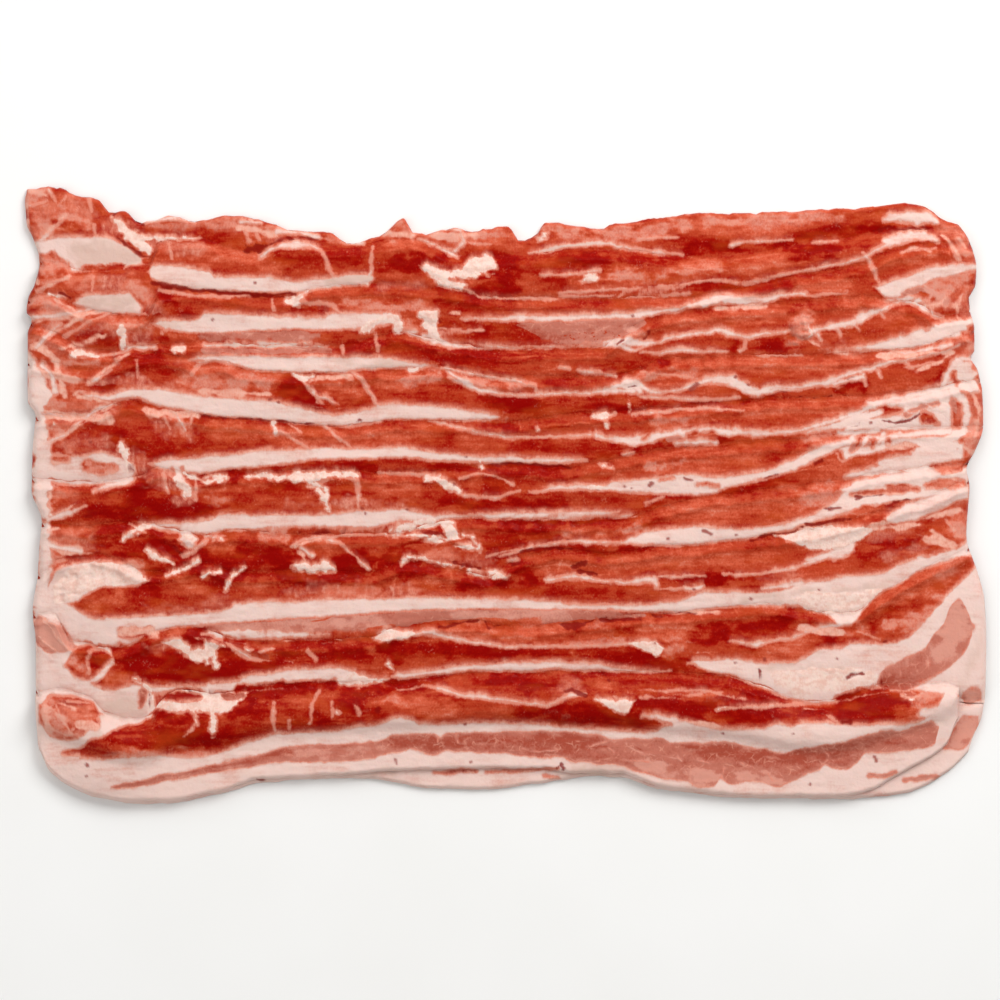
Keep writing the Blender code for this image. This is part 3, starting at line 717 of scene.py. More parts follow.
MARKS_07 = (
    ("bright", (7, (62, 494), (80, 490)), (5, (472, 484), (480, 482))),
    ("dark", (4, (74, 486), (84, 490))),
    ("fat", (3, (88, 505, 1), (72, 513), (50, 519)),
     (5, (166, 464, 3), (176, 472), (184, 484, 3), (192, 494, 1.5)),
     (((836, 446), (870, 440), (905, 438), (950, 436)), ((836, 462), (870, 456), (905, 444), (950, 462)))),
    ("salmon", (4, (52, 506), (58, 502))),
    ("chalk", (1.6, (52, 515)), (3, (246, 477, 2), (262, 476), (280, 478, 4), (300, 476, 4.6),
      (320, 476, 4.6), (336, 475, 4), (348, 475), (358, 477, 2)),
     (2, (300, 480), (316, 483), (326, 489, 3), (326, 500, 3), (330, 511, 1.4)),
     (3.4, (427, 477, 2.5), (440, 479, 4), (450, 486, 5), (458, 490, 3.5)), (1.4, (600, 463), (612, 467))),
    ("mid", (6, (98, 500), (118, 498)), (9, (342, 494)), (5, (590, 472), (640, 466))),
    ("deep", (3.4, (92, 514), (126, 514)), (9, (147, 472, 4), (141, 490), (138, 508, 10)),
     (7, (160, 511), (206, 510, 5)), (4, (486, 488), (500, 488)), (6, (446, 500), (480, 505), (508, 504))),
    ("dark", (8, (160, 484), (168, 496)), (5, (340, 486), (346, 492)), (4, (368, 474), (378, 476)),
     (6, (520, 474), (560, 474)), (6, (510, 500), (560, 500), (620, 500))),
    ("lean", (1.5, (172, 470), (177, 488)), (1.3, (183, 468), (190, 486))),
    ("film", (1.5, (164, 470), (168, 490)), (1.6, (196, 478), (196, 500)),
     (1.6, (346, 477), (358, 481, 2), (360, 495, 2), (359, 514, 1.4)),
     (1, (380, 473), (400, 474), (426, 474)), (1, (460, 494, 2), (476, 498), (500, 497), (520, 490)),
     (0.9, (460, 478), (480, 474), (500, 478), (512, 485))),
    ("chalk", (1.5, (181, 488), (186, 498))),
    ("salmon", (6, (206, 496), (224, 498)), (6, (650, 466), (680, 462))),
    ("chalk", (2, (200, 481), (212, 475), (226, 479))),
    ("gap", (1, (198, 476), (206, 474)), (1.3, (492, 464), (530, 464), (560, 466), (569, 468))),
    ("deep", (3, (234, 474), (238, 482)), (3, (520, 506), (560, 507)),
     (1.6, (646, 501), (668, 497), (688, 496))),
    ("bright", (5, (244, 488), (262, 484)), (9, (385, 490), (410, 488)),
     (8, (700, 462), (750, 456), (790, 450))),
    ("dark", (6, (242, 500), (300, 490)), (5, (765, 456), (790, 450))),
    ("mid", (5, (262, 504), (300, 504))),
    ("speck", (1.6, (455, 485))),
    ("fat", (((140, 521), (160, 522), (205, 520), (225, 514), (262, 514), (300, 515), (340, 513),
      (360, 511), (400, 509), (420, 512), (440, 515), (470, 514), (490, 513), (520, 512), (560, 512),
      (600, 511), (636, 514)), ((140, 524), (160, 530), (205, 534), (225, 531), (262, 529), (300, 527),
      (340, 527), (370, 527), (400, 521), (430, 520), (450, 519), (480, 516), (490, 519), (560, 519),
      (600, 517), (636, 517))), (((530, 491), (560, 484), (600, 481), (640, 479), (660, 476), (690, 474),
      (720, 477), (752, 473), (790, 460), (820, 446), (850, 438), (900, 433), (952, 427)), ((530, 493),
      (545, 491), (570, 490), (600, 491), (640, 493), (680, 495), (700, 496), (716, 492), (726, 488),
      (752, 482), (790, 472), (820, 458), (850, 446), (900, 440), (952, 436)))),
    ("speck", (1.6, (362, 509)), (1.2, (365, 514)), (1.3, (408, 510)), (1.7, (650, 487), (652, 484)),
     (1.4, (625, 486)), (1.1, (632, 488)), (1.2, (683, 478), (692, 481))),
    ("lean", (1.3, (660, 479), (671, 478)), (1.6, (698, 485), (706, 485), (717, 486)),
     (2.6, (724, 491), (740, 488), (754, 485)), (2, (839, 453), (842, 459)), (((830, 466), (850, 458),
      (865, 455), (880, 451), (895, 447), (910, 444)), ((830, 478), (845, 476), (860, 470), (880, 464),
      (895, 457), (910, 449))), (7, (940, 464, 5), (956, 456), (966, 446), (973, 428, 5), (975, 404, 3))),
    ("film", (1, (645, 504), (662, 497))),
    ("gap", (1.6, (814, 464), (821, 461)), (0.9, (764, 479), (776, 475))),
    ("pale", (2.6, (850, 451, 1.6), (853, 446), (862, 443), (878, 442, 1.6))),
    ("deep", (2.2, (740, 488), (765, 485), (780, 481), (797, 480))),
    ("salmon", (7, (946, 462), (966, 446), (974, 426))),
    ("film", (1, (955, 435), (962, 455)), (0.9, (968, 420), (970, 440))),
)
MARKS_08 = (
    ("bright", (6, (66, 534), (86, 530)), (6, (324, 548), (330, 552)),
     (8, (670, 512), (720, 508), (780, 500), (820, 494))),
    ("deep", (4, (98, 542), (112, 534), (124, 530)), (8, (494, 542), (510, 540)),
     (3, (864, 514), (886, 508))),
    ("dark", (4, (108, 526), (130, 526)), (6, (520, 530), (550, 532))),
    ("fat", (8, (44, 530), (46, 560), (44, 590)), (3, (44, 544), (62, 548), (82, 551)),
     (7, (186, 534), (192, 542))),
    ("salmon", (6, (58, 560), (48, 572))),
    ("chalk", (3.6, (132, 524, 2), (141, 530), (151, 526, 3)), (2, (130, 534), (124, 540)),
     (4, (186, 536), (194, 540)), (2, (206, 537), (224, 538)),
     (3, (147, 549, 2), (155, 555), (165, 560), (173, 563, 2)),
     (3.6, (296, 566), (310, 567, 4.4), (325, 566, 4), (336, 570, 2.4)),
     (3.6, (396, 527, 3), (410, 525), (428, 523, 5), (438, 521, 3)),
     (5, (446, 524, 4.5), (450, 532, 6), (458, 540), (468, 546, 4), (477, 549, 2)),
     (2.4, (463, 535), (472, 537), (479, 545, 1.8), (481, 552, 1)),
     (1.8, (388, 535), (404, 536), (420, 535), (440, 538), (452, 542)), (1.3, (431, 542)),
     (2.2, (402, 563, 2.6), (409, 558), (422, 558), (440, 563, 1.6), (464, 566, 1))),
    ("deep", (6, (158, 540), (170, 550), (184, 560)), (5, (126, 556), (142, 552)),
     (5, (538, 540), (556, 540)), (2, (492, 556), (512, 554))),
    ("dent", (5, (165, 545), (180, 558))),
    ("film", (1.8, (184, 556), (196, 551), (206, 541)),
     (1.8, (328, 540, 2.5), (340, 543), (350, 552), (360, 560), (368, 568, 2.6)),
     (0.9, (488, 556), (500, 552), (516, 549))),
    ("dark", (4, (152, 564), (160, 570))),
    ("bright", (6, (212, 548), (232, 548))),
    ("deep", (6, (206, 563), (262, 562)), (7, (244, 550), (270, 550), (284, 564))),
    ("gap", (2, (292, 530), (318, 532), (345, 531), (380, 530)), (2.6, (425, 532), (436, 532)),
     (1, (439, 523)), (1.6, (454, 562), (463, 565)), (1.4, (467, 565), (479, 567)),
     (1.3, (566, 541), (582, 541))),
    ("salmon", (4, (262, 528), (284, 530)), (4, (566, 532), (600, 532))),
    ("film", (1.1, (262, 532), (286, 531))),
    ("salmon", (4, (262, 537), (286, 540))),
    ("film", (1.8, (292, 547), (303, 540), (318, 537), (332, 538), (346, 535, 1.4), (386, 534, 0.7)),
     (3, (302, 548), (312, 556))),
    ("mid", (8, (366, 546), (394, 546))),
    ("deep", (6, (390, 558), (414, 556)), (5, (344, 566), (372, 560)),
     (3.4, (562, 520), (580, 522), (592, 523), (610, 519))),
    ("bright", (6, (432, 552), (452, 552))),
    ("chalk", (3.2, (470, 571, 2.6), (480, 574, 4), (495, 574, 3.6), (505, 577, 2))),
    ("salmon", (5, (624, 534), (640, 526))),
    ("film", (1.6, (500, 556, 1), (520, 550), (540, 546), (560, 543), (580, 541, 2), (590, 543, 3),
      (602, 543, 2), (620, 542))),
    ("fat", (((616, 542), (640, 534), (655, 530), (680, 527), (700, 526), (720, 527), (750, 528),
      (780, 524), (800, 518), (820, 510), (835, 500), (845, 490), (856, 480), (880, 475), (910, 470),
      (968, 466)), ((616, 544), (640, 545), (680, 545), (700, 544), (720, 541), (750, 538), (770, 533),
      (790, 529), (810, 522), (830, 518), (850, 512), (870, 508), (890, 502), (920, 500), (968, 494)))),
    ("speck", (1.4, (668, 538)), (1.4, (703, 531), (711, 535)), (1.2, (735, 534)),
     (1.6, (829, 510), (839, 508))),
    ("gap", (0.9, (854, 499), (866, 496), (882, 493), (896, 490)),
     (1.2, (520, 552), (545, 549), (572, 549)),
     (1.3, (750, 541), (765, 535), (785, 533), (795, 532, 2.6), (801, 528, 2)),
     (1.6, (806, 524), (820, 524), (835, 520, 2.3), (848, 518))),
    ("lean", (3, (888, 490, 2), (900, 487, 3.6), (917, 490, 2)),
     (4.4, (928, 486, 3), (944, 484), (962, 484, 4))),
    ("salmon", (4, (950, 484), (962, 484))),
    ("dim", (3, (876, 519), (892, 514))),
    ("deep", (3.2, (582, 551), (600, 552), (630, 549), (660, 547, 2), (679, 546, 1))),
)
MARKS_09 = (
    ("fat", (((45, 590), (60, 569), (75, 563), (90, 561), (110, 563), (128, 563), (140, 570), (150, 579)),
      ((45, 606), (60, 605), (75, 602), (90, 594), (105, 587), (125, 586), (140, 585), (150, 583))),
      (((64, 618), (100, 618), (130, 608), (150, 607), (200, 608), (240, 603), (262, 602), (340, 599),
      (400, 597), (490, 598), (540, 600), (600, 602), (680, 597), (700, 592), (720, 591), (750, 592),
      (780, 590), (800, 582), (830, 578), (850, 575), (880, 573), (900, 562), (920, 558), (950, 552),
      (972, 538)), ((64, 634), (100, 646), (130, 644), (150, 633), (200, 626), (240, 622), (262, 620),
      (340, 616), (400, 612), (490, 609), (540, 610), (600, 610), (680, 612), (700, 610), (740, 606),
      (800, 606), (850, 602), (880, 592), (900, 584), (920, 570), (946, 562), (972, 556))),
     (2.6, (684, 587), (692, 589, 4), (702, 586, 2)), (1.8, (740, 574, 0.9), (760, 573, 1.3), (782, 570),
      (800, 566), (815, 560, 2.6), (830, 556, 4), (846, 549, 3))),
    ("dim", (1.2, (62, 576), (58, 600)), (1.2, (72, 572), (70, 598)), (1.2, (82, 568), (80, 592)),
     (0.9, (742, 598), (800, 592), (850, 589), (890, 587)), (0.8, (760, 604), (830, 598))),
    ("chalk", (5, (118, 572), (138, 576)), (2.6, (168, 576, 2), (180, 570), (192, 566), (199, 561, 1.8)),
     (2, (204, 577), (214, 572), (222, 573)), (1.8, (246, 568), (233, 575), (226, 590)), (((774, 534),
      (790, 533), (800, 528), (830, 526), (850, 527), (872, 526)), ((774, 537), (790, 541), (800, 545),
      (815, 550), (840, 550), (856, 541), (872, 535)))),
    ("film", (0.8, (67, 572), (64, 600)), (0.8, (88, 568), (87, 590)), (1, (393, 588), (393, 600)),
     (1.3, (508, 561), (517, 560)), (1.3, (658, 577, 2), (680, 577, 1), (704, 575, 0.8)),
     (0.9, (660, 590), (690, 587)), (1.2, (722, 573), (742, 574), (762, 573))),
    ("salmon", (4, (134, 564), (144, 572)), (6, (956, 512), (962, 526))),
    ("deep", (7, (156, 580), (152, 596)), (5, (112, 594), (140, 592)), (6, (520, 572), (532, 578))),
    ("bright", (6, (184, 584), (210, 588)), (7, (610, 566), (690, 560), (760, 556))),
    ("dark", (4, (214, 582), (222, 590)), (6, (550, 592), (620, 592)), (7, (860, 556), (900, 544)),
     (3, (205, 627), (232, 628))),
    ("bright", (6, (242, 584), (262, 586))),
    ("deep", (6, (290, 580), (322, 583), (352, 576)), (3.6, (684, 579), (710, 578), (742, 580)),
     (5, (880, 546), (908, 544))),
    ("bright", (5, (330, 592), (380, 590))),
    ("deep", (5, (404, 572), (440, 572))),
    ("bright", (6, (420, 584), (450, 578))),
    ("deep", (4, (460, 584), (500, 584))),
    ("gap", (1.4, (512, 565), (518, 563)), (2, (573, 567), (580, 564, 2.4), (586, 562, 1.4)),
     (2, (580, 571, 1.4), (588, 573, 2.8), (595, 574))),
    ("fat", (2.2, (545, 580, 1.8), (556, 578, 2.4), (570, 577, 2.4), (582, 577, 2.8), (600, 581, 1.6),
      (625, 582, 2), (640, 580, 3.4), (654, 580, 3.6), (656, 587))),
    ("speck", (1.4, (693, 589)), (1.6, (750, 598)), (1.2, (817, 589))),
    ("mid", (7, (750, 550), (800, 552)), (5, (760, 582), (820, 574))),
    ("film", (0.9, (945, 518), (955, 536))),
    ("deep", (3, (742, 588), (770, 586))),
    ("pale", (((198, 625), (262, 621), (340, 617), (400, 613), (480, 610), (600, 611), (646, 613)),
      ((198, 628), (262, 632), (340, 631), (400, 624), (480, 618), (600, 619), (646, 617)))),
    ("fat", (2.6, (215, 635, 1), (262, 636), (330, 636))),
    ("gap", (1.6, (600, 620), (640, 619))),
)
MARKS_10 = (
    ("fat", (((26, 606), (45, 606), (62, 622), (75, 638), (95, 643), (118, 645)), ((26, 702), (60, 697),
      (80, 701), (95, 713), (110, 722), (118, 722))),
     (2, (228, 641), (240, 651), (252, 659), (268, 663), (292, 664, 1)), (2.6, (414, 634, 1.4),
      (424, 631, 2), (436, 633), (450, 637), (465, 641), (480, 643, 2.2), (500, 646, 1.6), (560, 646, 1.2),
      (630, 644, 1.2)), (((810, 604), (826, 606), (850, 602), (866, 598)), ((810, 605), (822, 611),
      (830, 617), (838, 625), (848, 625), (866, 610))), (2, (728, 641, 0.9), (744, 642, 1.5),
      (756, 644, 2.4), (770, 640), (790, 638, 1.8), (805, 632), (820, 628), (835, 625, 2.4), (848, 622))),
    ("pale", (((34, 622), (40, 616), (50, 622), (62, 627), (72, 637), (78, 646)), ((34, 640), (42, 646),
      (52, 652), (62, 652), (72, 650), (78, 648)))),
    ("salmon", (9, (48, 632), (62, 640))),
    ("film", (1.4, (46, 616), (56, 622)), (1.1, (44, 640), (60, 652)), (1.1, (262, 651), (273, 646)),
     (1, (309, 650), (317, 659))),
    ("pale", (1.5, (33, 612), (32, 626), (35, 640))),
    ("film", (1.4, (38, 644), (54, 660))),
    ("lean", (((66, 662), (75, 650), (90, 645), (105, 649), (117, 656)), ((66, 668), (75, 676), (90, 679),
      (100, 672), (110, 663), (117, 659)))),
    ("salmon", (6, (76, 660), (84, 668))),
    ("deep", (6, (100, 656), (111, 655)), (3, (96, 666), (100, 662)),
     (8, (160, 666), (185, 672), (215, 672)), (5, (226, 648), (232, 658)),
     (6, (430, 653), (480, 652), (512, 653))),
    ("film", (1.1, (94, 650), (88, 658), (90, 672)), (1, (100, 648), (90, 652))),
    ("lean", (((94, 682), (105, 676), (115, 665), (122, 663), (130, 672), (138, 683)), ((94, 684),
      (105, 688), (120, 690), (130, 690), (138, 686)))),
    ("bright", (7, (110, 678), (126, 680))),
    ("fat",
     (((98, 694), (118, 690), (135, 684), (154, 686)), ((98, 716), (118, 722), (135, 724), (154, 718)))),
    ("dim", (9, (112, 704), (134, 706)), (0.9, (790, 670), (820, 669), (850, 668)),
     (0.8, (760, 667), (790, 666)), (1.4, (962, 678), (968, 664), (973, 652)),
     (1.2, (975, 640), (978, 655))),
    ("chalk", (2.6, (136, 679, 1.6), (147, 684), (154, 694, 3), (155, 706, 3.4), (150, 716, 2.4)),
      (((164, 642), (180, 637), (192, 638), (206, 641), (224, 643)), ((164, 643), (178, 649), (190, 657),
      (200, 662), (212, 656), (224, 646))), (2.6, (248, 647), (257, 643), (266, 640, 1.4)),
     (1.8, (325, 640), (341, 638)), (((373, 637), (380, 633), (386, 627), (391, 627), (396, 630),
      (412, 629), (416, 631)), ((373, 640), (385, 641), (396, 640), (406, 639), (412, 636), (416, 633))),
      (((335, 678), (345, 676), (355, 671), (360, 675), (380, 677), (390, 678)), ((335, 683), (345, 685),
      (356, 685), (370, 683), (380, 682), (390, 680))), (1.5, (388, 663), (394, 670))),
    ("pale", (3.4, (144, 692), (141, 704))),
    ("gap", (0.9, (149, 688), (152, 696), (150, 703)),
     (1.2, (440, 627), (452, 624), (470, 620), (477, 621)), (1.4, (484, 622), (490, 628)),
     (0.8, (490, 628), (500, 625)), (0.9, (507, 622), (508, 629)),
     (((558, 622), (568, 623), (585, 622), (594, 619)), ((558, 624), (568, 632), (580, 627), (594, 621))),
     (0.9, (606, 621), (620, 619)), (1.1, (624, 620), (640, 617)), (1.2, (653, 615), (661, 616)),
     (0.9, (664, 613), (680, 611), (696, 614))),
    ("deep", (((118, 660), (130, 652), (148, 641), (165, 650), (185, 660), (200, 666), (235, 662),
      (270, 662), (305, 662)), ((118, 662), (135, 673), (155, 681), (200, 683), (230, 678), (270, 670),
      (305, 664)))),
    ("mid", (6, (158, 638), (158, 652))),
    ("bright", (6, (172, 634), (188, 628))),
    ("deep", (4, (196, 630), (212, 632)), (3, (194, 646), (206, 632))),
    ("lean", (3, (194, 646), (203, 636))),
    ("chalk", (2.4, (214, 650), (216, 667)), (1.5, (206, 655), (207, 664))),
    ("salmon", (5, (256, 657), (270, 658))),
    ("bright", (4, (264, 650), (285, 648))),
    ("deep", (5, (284, 655), (297, 651))),
    ("dark", (5, (305, 645), (313, 656)), (5, (890, 678), (912, 684))),
    ("deep", (8, (326, 656), (350, 652), (371, 655)), (5, (884, 680), (896, 684))),
    ("mid", (6, (345, 639), (364, 641)), (5, (374, 646), (380, 660))),
    ("deep", (7, (392, 649), (398, 658)), (5, (390, 651), (450, 652))),
    ("mid", (4, (410, 662), (480, 662))),
    ("bright", (6, (456, 631), (500, 635), (560, 636)), (6, (384, 672), (384, 690))),
    ("salmon", (4, (562, 643), (620, 643)), (5, (580, 636), (600, 627))),
    ("chalk", (((626, 643), (640, 641), (655, 641), (664, 644)), ((626, 645), (640, 649), (650, 653),
      (658, 656), (664, 650)))),
    ("speck", (1, (654, 643))),
    ("deep", (((500, 647), (560, 648), (620, 650), (640, 652), (660, 657), (704, 652)), ((500, 658),
      (560, 659), (600, 663), (640, 667), (680, 668), (704, 660)))),
    ("salmon", (2, (572, 652), (592, 656))),
    ("mid", (3, (520, 660), (590, 661)), (5, (366, 671), (376, 672))),
    ("bright", (8, (640, 629), (690, 626))),
    ("deep", (4, (700, 628), (724, 627), (745, 627, 3)), (6, (692, 641), (722, 642))),
    ("salmon", (6, (668, 648), (684, 645))),
    ("bright", (5, (720, 652), (760, 654))),
    ("deep", (6, (742, 628), (775, 620), (790, 616))),
    ("mid", (5, (745, 612), (770, 610))),
    ("dark", (5, (802, 618), (816, 618))),
    ("bright", (7, (775, 650), (812, 643))),
    ("deep", (4, (826, 638), (852, 638)), (3, (742, 643), (752, 647))),
    ("dark", (10, (872, 622), (905, 600))),
    ("deep", (4, (890, 612), (902, 598)), (5, (912, 590), (925, 580))),
    ("salmon", (5, (922, 616), (938, 600)), (5, (846, 636), (862, 628))),
    ("film", (0.9, (858, 631), (870, 635), (879, 640))),
    ("gap", (1.8, (879, 641), (885, 641))),
    ("fat", (((688, 662), (698, 652), (715, 652), (730, 656), (760, 661), (790, 662), (805, 656),
      (820, 649), (840, 648), (850, 643), (890, 642), (905, 637), (920, 624), (935, 608), (948, 592),
      (990, 560)), ((688, 664), (710, 671), (725, 674), (740, 679), (750, 683), (765, 689), (797, 700),
      (820, 703), (860, 695), (880, 690), (905, 690), (990, 700))), (((146, 684), (160, 682), (180, 683),
      (200, 683), (230, 679), (262, 671), (300, 668), (340, 667), (356, 672), (364, 677)), ((146, 692),
      (160, 693), (200, 692), (240, 690), (262, 688), (300, 684), (340, 682), (356, 682), (364, 680))),
      (((392, 676), (398, 672), (420, 671), (440, 668), (460, 665), (480, 663), (560, 661), (600, 664),
      (640, 669), (670, 670)), ((392, 678), (398, 679), (420, 676), (440, 675), (460, 672), (480, 669),
      (500, 671), (560, 669), (600, 670), (640, 672), (670, 671)))),
    ("pale", (((872, 680), (885, 668), (905, 658), (925, 648), (932, 636), (942, 626), (950, 606),
      (957, 599), (964, 607), (972, 625)), ((872, 683), (885, 688), (905, 689), (925, 680), (940, 671),
      (950, 664), (957, 657), (963, 651), (968, 642), (972, 632)))),
    ("salmon", (11, (940, 650), (956, 632), (960, 614))),
    ("film", (0.9, (897, 667), (901, 679)), (0.8, (918, 670), (936, 655))),
    ("gap", (1.6, (846, 680, 2.4), (852, 676), (860, 673), (868, 673, 1), (877, 675, 0.8)),
     (1.2, (878, 676), (881, 684)), (0.8, (757, 668), (761, 677)),
     (1.1, (758, 681), (765, 684), (773, 688)),
     (1.6, (400, 679, 0.9), (415, 679), (426, 678), (442, 678, 1.1))),
    ("speck", (1.4, (763, 659)), (1.1, (735, 662)), (1.1, (836, 658))),
)
MARKS_11 = (
    ("fat", (((26, 688), (60, 688), (90, 696), (104, 706), (118, 716), (150, 714)), ((26, 820), (60, 820),
      (90, 740), (104, 735), (118, 729), (150, 719))),
     (3, (642, 714, 1.2), (656, 715, 2.4), (670, 720, 4), (690, 726, 4))),
    ("lean", (((42, 704), (52, 694), (75, 696), (95, 701), (103, 711)), ((42, 722), (52, 735), (70, 739),
      (85, 734), (95, 725), (103, 714)))),
    ("salmon", (11, (52, 706), (60, 724))),
    ("bright", (8, (80, 714), (90, 710))),
    ("film", (1.2, (58, 703), (64, 716)), (0.9, (66, 736), (75, 726)), (1.4, (47, 712), (56, 708)),
     (0.9, (70, 700), (92, 702)), (1.4, (274, 702), (275, 734)), (1.1, (320, 690), (312, 704), (310, 722)),
     (0.9, (290, 720), (291, 732)), (0.8, (333, 700), (334, 716)), (0.9, (356, 705), (360, 713)),
     (0.9, (628, 692), (650, 691), (690, 689), (720, 693), (745, 699)), (0.8, (640, 697), (700, 694)),
     (1, (803, 709), (825, 712), (832, 718), (836, 721))),
    ("dim", (2.5, (100, 728), (103, 734)), (0.8, (262, 779), (340, 777), (390, 772))),
    ("chalk", (((154, 704), (164, 697), (180, 688), (220, 690), (248, 687)), ((154, 707), (170, 711),
      (190, 712), (205, 711), (222, 713), (235, 706), (248, 699))), (1.8, (338, 711), (339, 713))),
    ("lean", (2.6, (164, 698, 1.4), (180, 697, 3), (197, 696, 3))),
    ("deep", (3, (172, 698), (197, 695)), (5, (150, 736), (166, 728)), (6, (186, 739), (230, 736)),
     (7, (241, 714), (258, 713)), (4, (202, 719), (204, 728)), (4, (256, 692), (320, 687)),
     (9, (346, 695), (366, 692), (392, 690, 5), (418, 688, 3)), (5, (340, 706), (358, 713)),
     (5, (314, 710), (322, 720)), (3.4, (577, 674), (600, 673), (620, 674)), (8, (855, 707), (880, 703))),
    ("gap", (1.3, (190, 690), (198, 696)), (2.6, (377, 709), (379, 711)), (0.8, (604, 673), (608, 680))),
    ("pale", (3, (226, 696), (244, 694))),
    ("speck", (1.4, (210, 692), (222, 691))),
    ("chalk", (2.2, (195, 710), (197, 722)), (3, (214, 710), (214, 731))),
    ("film", (1.2, (186, 735), (192, 728), (197, 720))),
    ("fat", (((52, 742), (60, 748), (70, 756), (85, 758), (100, 758), (130, 755), (160, 754), (190, 756),
      (220, 752), (240, 743), (262, 737), (275, 733), (300, 731), (340, 729), (370, 724), (385, 722),
      (396, 716), (410, 718), (420, 723), (500, 722), (540, 723), (570, 727), (600, 728), (640, 731),
      (655, 730), (668, 722), (676, 719), (700, 724), (720, 728), (760, 727), (775, 723), (790, 725),
      (800, 721), (850, 723), (900, 723), (915, 721), (930, 712), (940, 698), (948, 684), (990, 676)),
      ((52, 820), (990, 820)))),
    ("lean", (2, (652, 727, 1), (664, 723), (670, 724, 0.8))),
    ("dark", (6, (240, 728), (262, 726)), (4, (430, 746), (460, 742)),
     (6, (700, 750), (730, 752), (760, 752))),
    ("bright", (4, (168, 718), (184, 722)), (6, (296, 702), (330, 692)),
     (6, (600, 685), (660, 684), (720, 682)), (5, (300, 753), (340, 752), (380, 748))),
    ("mid", (5, (100, 747), (140, 741))),
    ("dark", (5, (76, 748), (96, 745)), (5, (288, 710), (300, 722))),
    ("salmon", (3, (74, 755), (130, 753), (200, 752)), (4, (372, 702), (394, 698)),
     (3, (690, 692), (740, 698))),
    ("bright", (9, (405, 706), (450, 708))),
    ("mid", (9, (470, 710), (540, 712))),
    ("deep", (5, (377, 709), (380, 710)), (((556, 712), (570, 704), (600, 705), (640, 713), (668, 719)),
      ((556, 722), (600, 723), (640, 723), (668, 722))), (((622, 706), (636, 699), (665, 697), (690, 702),
      (706, 708)), ((622, 710), (650, 712), (680, 716), (706, 718))), (5, (745, 692), (782, 694))),
    ("fat", (2.2, (398, 688, 1.2), (412, 686), (425, 683), (440, 688, 2.6), (455, 692, 2.8),
      (470, 695, 2.8), (500, 698, 2.4), (530, 702), (548, 705, 1.6), (560, 699), (572, 694, 2.6),
      (584, 694, 1.2))),
    ("dark", (6, (470, 682), (540, 685)), (3, (540, 738), (600, 742))),
    ("deep", (4, (498, 676), (510, 677)), (2.6, (515, 674), (545, 673)), (3, (520, 688), (532, 685))),
    ("mid", (5, (440, 682), (462, 680))),
    ("haze",
     (((554, 690), (560, 680), (575, 675), (584, 680)), ((554, 697), (565, 698), (575, 696), (584, 690)))),
    ("gap", (1, (564, 691), (572, 689), (579, 692)), (1.8, (578, 693), (585, 696)),
     (2, (842, 721), (848, 721))),
    ("chalk", (((594, 697), (610, 697), (626, 698), (634, 700)), ((594, 699), (605, 705), (618, 711),
      (626, 712), (634, 702))), (1.3, (716, 709), (726, 706))),
    ("salmon", (2, (544, 713), (566, 712))),
    ("bright", (4, (700, 704), (712, 712))),
    ("film", (1.5, (728, 707), (760, 706), (800, 703), (818, 701, 1))),
    ("deep", (((704, 712), (740, 709), (800, 710), (830, 716), (850, 721)), ((704, 719), (740, 722),
      (790, 718), (830, 720), (850, 722)))),
    ("mid", (3, (768, 722), (810, 718))),
    ("deep", (((822, 706), (850, 697), (870, 690), (890, 687), (898, 692)), ((822, 712), (850, 720),
      (870, 721), (890, 718), (898, 708)))),
    ("salmon", (9, (914, 706), (932, 694))),
    ("bright", (6, (900, 708), (908, 714))),
    ("chalk", (1.2, (902, 692), (906, 697), (915, 699)), (1, (908, 689), (913, 694))),
    ("dark", (5, (893, 686), (908, 688)), (5, (790, 760), (840, 754), (900, 740))),
    ("pale", (((114, 785), (130, 782), (160, 776), (200, 768), (240, 759), (262, 754), (280, 749),
      (300, 746), (340, 744), (380, 741), (395, 735), (420, 734), (434, 734), (440, 737), (447, 733),
      (480, 733), (520, 731), (570, 732), (600, 736), (612, 739), (640, 738), (660, 738), (672, 743),
      (700, 743), (725, 742), (745, 746), (765, 750), (785, 753), (800, 748), (820, 746), (840, 742),
      (860, 737), (880, 731), (900, 730), (915, 727), (930, 722), (943, 729)), ((114, 787), (130, 786),
      (160, 781), (200, 774), (240, 767), (262, 763), (280, 761), (300, 761), (340, 760), (370, 757),
      (385, 752), (400, 751), (413, 748), (425, 752), (435, 753), (446, 749), (456, 750), (468, 750),
      (480, 752), (505, 752), (530, 756), (560, 756), (572, 760), (600, 763), (620, 765), (640, 771),
      (660, 777), (685, 780), (700, 786), (712, 785), (720, 777), (730, 782), (750, 780), (762, 781),
      (775, 786), (786, 782), (795, 779), (806, 773), (818, 768), (824, 762), (832, 766), (845, 768),
      (855, 761), (864, 752), (900, 750), (920, 747), (935, 741), (943, 734))),
     (1.6, (868, 775), (880, 775), (895, 771, 1.2))),
    ("salmon", (7, (690, 776), (712, 776)), (5, (640, 766), (670, 770)), (5, (740, 776), (780, 778))),
    ("film", (1, (436, 735), (438, 742)), (1, (457, 733), (459, 741)),
     (0.8, (522, 748), (534, 751), (556, 750)), (1, (586, 745), (606, 741)), (0.8, (608, 746), (614, 752)),
     (0.9, (624, 759), (636, 760), (648, 762)), (1, (640, 752), (644, 754)), (0.9, (698, 760), (708, 762)),
     (1, (724, 768), (721, 778)), (0.9, (766, 772), (772, 780)), (0.8, (822, 748), (828, 758)),
     (0.8, (740, 762), (752, 768)), (0.8, (676, 756), (682, 760))),
    ("speck", (2, (90, 764)), (1.1, (88, 775)), (1.6, (465, 724)), (1.4, (722, 733)),
     (1.2, (872, 756), (875, 761)), (1.4, (916, 767)), (1.3, (809, 783)), (1.2, (471, 761)),
     (0.8, (396, 759), (396, 764)), (0.9, (258, 779), (264, 780)), (0.9, (792, 733))),
)
